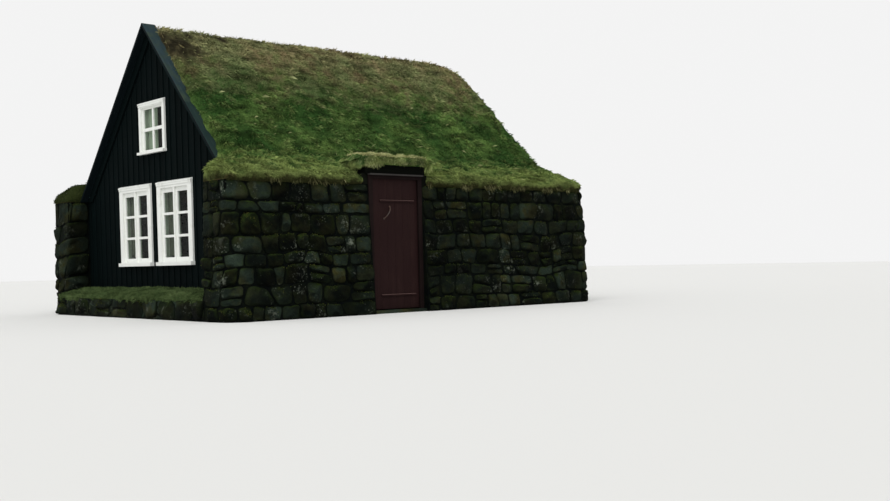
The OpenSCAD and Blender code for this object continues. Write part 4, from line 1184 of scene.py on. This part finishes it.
def gable_battens():
    """Battens over the seams between the boards, cut at the windows and under the barge boards."""
    shape = bmesh.new()
    foot = high("front_ledge_turf").z - 0.10
    windows = [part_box(name) for name in CASINGS]
    barge_corner = min((corner.co for corner in nodes["barge_board_right"].data.vertices),
                       key=lambda spot: (spot.x, spot.z))
    count = int(wing_x // board_w)
    for step in range(-count, count + 1):
        middle = step * board_w
        left, right = middle - batten_w / 2, middle + batten_w / 2
        top = barge_corner.z - (abs(middle) + batten_w / 2) * math.tan(pitch) - 0.003
        cuts = sorted((box_low.z, box_high.z) for box_low, box_high in windows
                      if box_low.x + batten_overlap < right and left < box_high.x - batten_overlap)
        stops = [(foot, foot)] + cuts + [(top, top)]
        for lower, upper in zip(stops, stops[1:]):
            bottom, end = lower[1], min(upper[0], top)
            if end - bottom > 0.03:
                chamfered_box(shape, (left, gable_y - batten_t, bottom),
                              (right, gable_y + bedded, end), 0.003)
    return piece_from(shape, "gable_battens", tar_plain)


def window_trims():
    """A small moulding under each drip board, on the front of the side boards."""
    shape = bmesh.new()
    for name in CASINGS:
        lowest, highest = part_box(name)
        half = (highest.x - lowest.x) / 2 - sill_ear
        middle_x, middle_z = (highest.x + lowest.x) / 2, (lowest.z + highest.z) / 2
        before = Vector((lowest.x + sill_ear + 0.02, lowest.y - 1, middle_z))
        front = solids_tree([name]).ray_cast(before, Vector((0, 1, 0)))[0].y
        chamfered_box(shape, (middle_x - half, front - 0.009, highest.z - 0.062),
                      (middle_x + half, front + bedded, highest.z - 0.032), 0.004)
    return piece_from(shape, "window_trims", white)


# Curtains

def parts_of(node):
    """Lowest and highest corner of each separate solid of a node."""
    shape = bmesh.new()
    shape.from_mesh(nodes[node].data)
    bmesh.ops.remove_doubles(shape, verts=shape.verts, dist=0.00001)
    left = set(shape.verts)
    boxes = []
    while left:
        group, queue = set(), [left.pop()]
        while queue:
            corner = queue.pop()
            group.add(corner)
            linked = {edge.other_vert(corner) for edge in corner.link_edges} & left
            left -= linked
            queue += linked
        spots = np.array([corner.co for corner in group])
        boxes.append((spots.min(0), spots.max(0)))
    shape.free()
    return sorted(boxes, key=lambda box: (round(box[0][2], 2), box[0][0]))


def hang_curtains():
    """Pleated net cloth, gathered in each window's box."""
    for number, (lowest, highest) in enumerate(parts_of("curtains")):
        width, drop = highest[0] - lowest[0], highest[2] - lowest[2]
        columns = max(points_per_pleat, int(width / pleat * points_per_pleat))
        across = np.linspace(0, width, columns + 1)
        middle_y = (lowest[1] + highest[1]) / 2
        rows = []
        for fallen in np.linspace(0, 1, curtain_rows):
            swing = pleat_depth * (0.55 + 0.45 * fallen)
            phase = 2 * math.pi * across / pleat + 0.5 * np.sin(across * 31 + number) * fallen
            depth = middle_y + swing * np.sin(phase)
            drawn = across + 0.006 * fallen * np.sin(across * 23 + number)
            rows.append([(lowest[0] + spot, y, highest[2] - drop * fallen) for spot, y in zip(drawn, depth)])
        upstairs = lowest[2] > low("upper_window_sash").z - 0.1
        piece = new_piece(f"curtain_{number + 1}", sum(rows, []), grid_faces(curtain_rows - 1, columns),
                          lit_net if upstairs else net)
        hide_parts("curtains")


# Door

def plank_door():
    """Upright planks with chamfered seams, two ledges and their nails."""
    shape = bmesh.new()
    lowest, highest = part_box("door_leaf")
    corners = [corner.co for corner in nodes["door_leaf"].data.vertices]
    faces_x = sorted({round(corner.x, 4) for corner in corners})
    inner, outer, ledge_x = faces_x[0], faces_x[1], faces_x[-1]
    step = (highest.y - lowest.y) / plank_count
    rng = np.random.default_rng(51)
    for number in range(plank_count):
        proud = rng.uniform(-0.0012, 0.0)
        chamfered_box(shape, (inner, lowest.y + number * step + plank_gap, lowest.z),
                      (outer + proud, lowest.y + (number + 1) * step - plank_gap, highest.z), plank_groove)
    middle_z = (lowest.z + highest.z) / 2
    for upper in (True, False):
        spots = [spot for spot in corners if spot.x > outer + 0.001 and (spot.z > middle_z) == upper]
        bottom, top = min(spot.z for spot in spots), max(spot.z for spot in spots)
        start, end = min(spot.y for spot in spots), max(spot.y for spot in spots)
        chamfered_box(shape, (outer - bedded, start, bottom), (ledge_x, end, top), 0.004)
        for number in range(plank_count):
            spot = lowest.y + (number + 0.5) * step
            if start < spot < end:
                add_nail(shape, (ledge_x, spot, (bottom + top) / 2))
    piece = piece_from(shape, "door_planks", door_paint, body="door")
    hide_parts("door_leaf")


def add_nail(shape, spot):
    """Adds the flattened head of a nail that faces along X."""
    made = bmesh.ops.create_uvsphere(shape, u_segments=8, v_segments=5, radius=nail_r)
    bmesh.ops.scale(shape, vec=(0.5, 1, 1), verts=made["verts"])
    bmesh.ops.translate(shape, vec=spot, verts=made["verts"])


# Stage

def stage_floor():
    mesh = bpy.data.meshes.new("floor")
    reach = 60.0
    mesh.from_pydata([(-reach, -reach, 0), (reach, -reach, 0), (reach, reach, 0), (-reach, reach, 0)], [],
                     [(0, 1, 2, 3)])
    paint = bpy.data.materials.new("studio floor")
    paint.use_nodes = True
    shader = paint.node_tree.nodes["Principled BSDF"]
    shader.inputs["Base Color"].default_value = (0.78, 0.78, 0.76, 1.0)
    shader.inputs["Roughness"].default_value = 0.9
    mesh.materials.append(paint)
    floor = bpy.data.objects.new("floor", mesh)
    bpy.context.scene.collection.objects.link(floor)


def light_scene():
    """A pale sky all round, a broad soft light from above and a weak one from the camera's side."""
    world = bpy.data.worlds.new("studio")
    world.use_nodes = True
    tree = world.node_tree
    path = add(tree, "ShaderNodeLightPath").outputs
    mirrored = maths(tree, "MAXIMUM", path["Is Glossy Ray"], path["Is Transmission Ray"])
    seen = maths(tree, "MAXIMUM", path["Is Camera Ray"], mirrored)
    background = tree.nodes["Background"]
    background.inputs["Color"].default_value = (1.0, 1.0, 1.0, 1.0)
    tree.links.new(ramp(tree, seen, 0.0, 1.0, 0.55, 0.9), background.inputs["Strength"])
    bpy.context.scene.world = world
    for name, strength, angle, turn in (("sky light", 1.5, 50, (0.5, 0.2, 0.4)),
                                        ("front light", 0.55, 70, (1.1, 0.0, 0.75))):
        sun = bpy.data.lights.new(name, "SUN")
        sun.energy = strength
        sun.angle = math.radians(angle)
        lamp = bpy.data.objects.new(name, sun)
        lamp.rotation_euler = turn
        bpy.context.scene.collection.objects.link(lamp)


def set_camera():
    """The photograph's viewpoint: low, off the right front corner."""
    focal_px, width_px, height_px = 1116.0, 890, 501
    horizon_px = 296.5
    camera_place = (13.649, -9.455, 0.632)
    heading, tilt, roll = (math.radians(angle) for angle in (48.752, -1.782, -1.324))
    camera = bpy.data.cameras.new("camera")
    camera.sensor_width = 36.0
    camera.lens = focal_px / width_px * camera.sensor_width
    camera.shift_y = (horizon_px - height_px / 2) / width_px
    camera.clip_end = 200.0
    viewer = bpy.data.objects.new("camera", camera)
    turned = Matrix.Rotation(heading, 4, "Z") @ Matrix.Rotation(math.pi / 2 + tilt, 4, "X")
    viewer.matrix_world = Matrix.Translation(camera_place) @ turned @ Matrix.Rotation(roll, 4, "Z")
    bpy.context.scene.collection.objects.link(viewer)
    bpy.context.scene.camera = viewer


finish_nodes()
lay_walls()
lay_ledge()
lay_passage()
plant_turf()
verge_sod(1)
verge_sod(-1)
gable_battens()
window_trims()
hang_curtains()
plank_door()
stage_floor()
light_scene()
set_camera()
bpy.context.scene.view_settings.view_transform = "Standard"
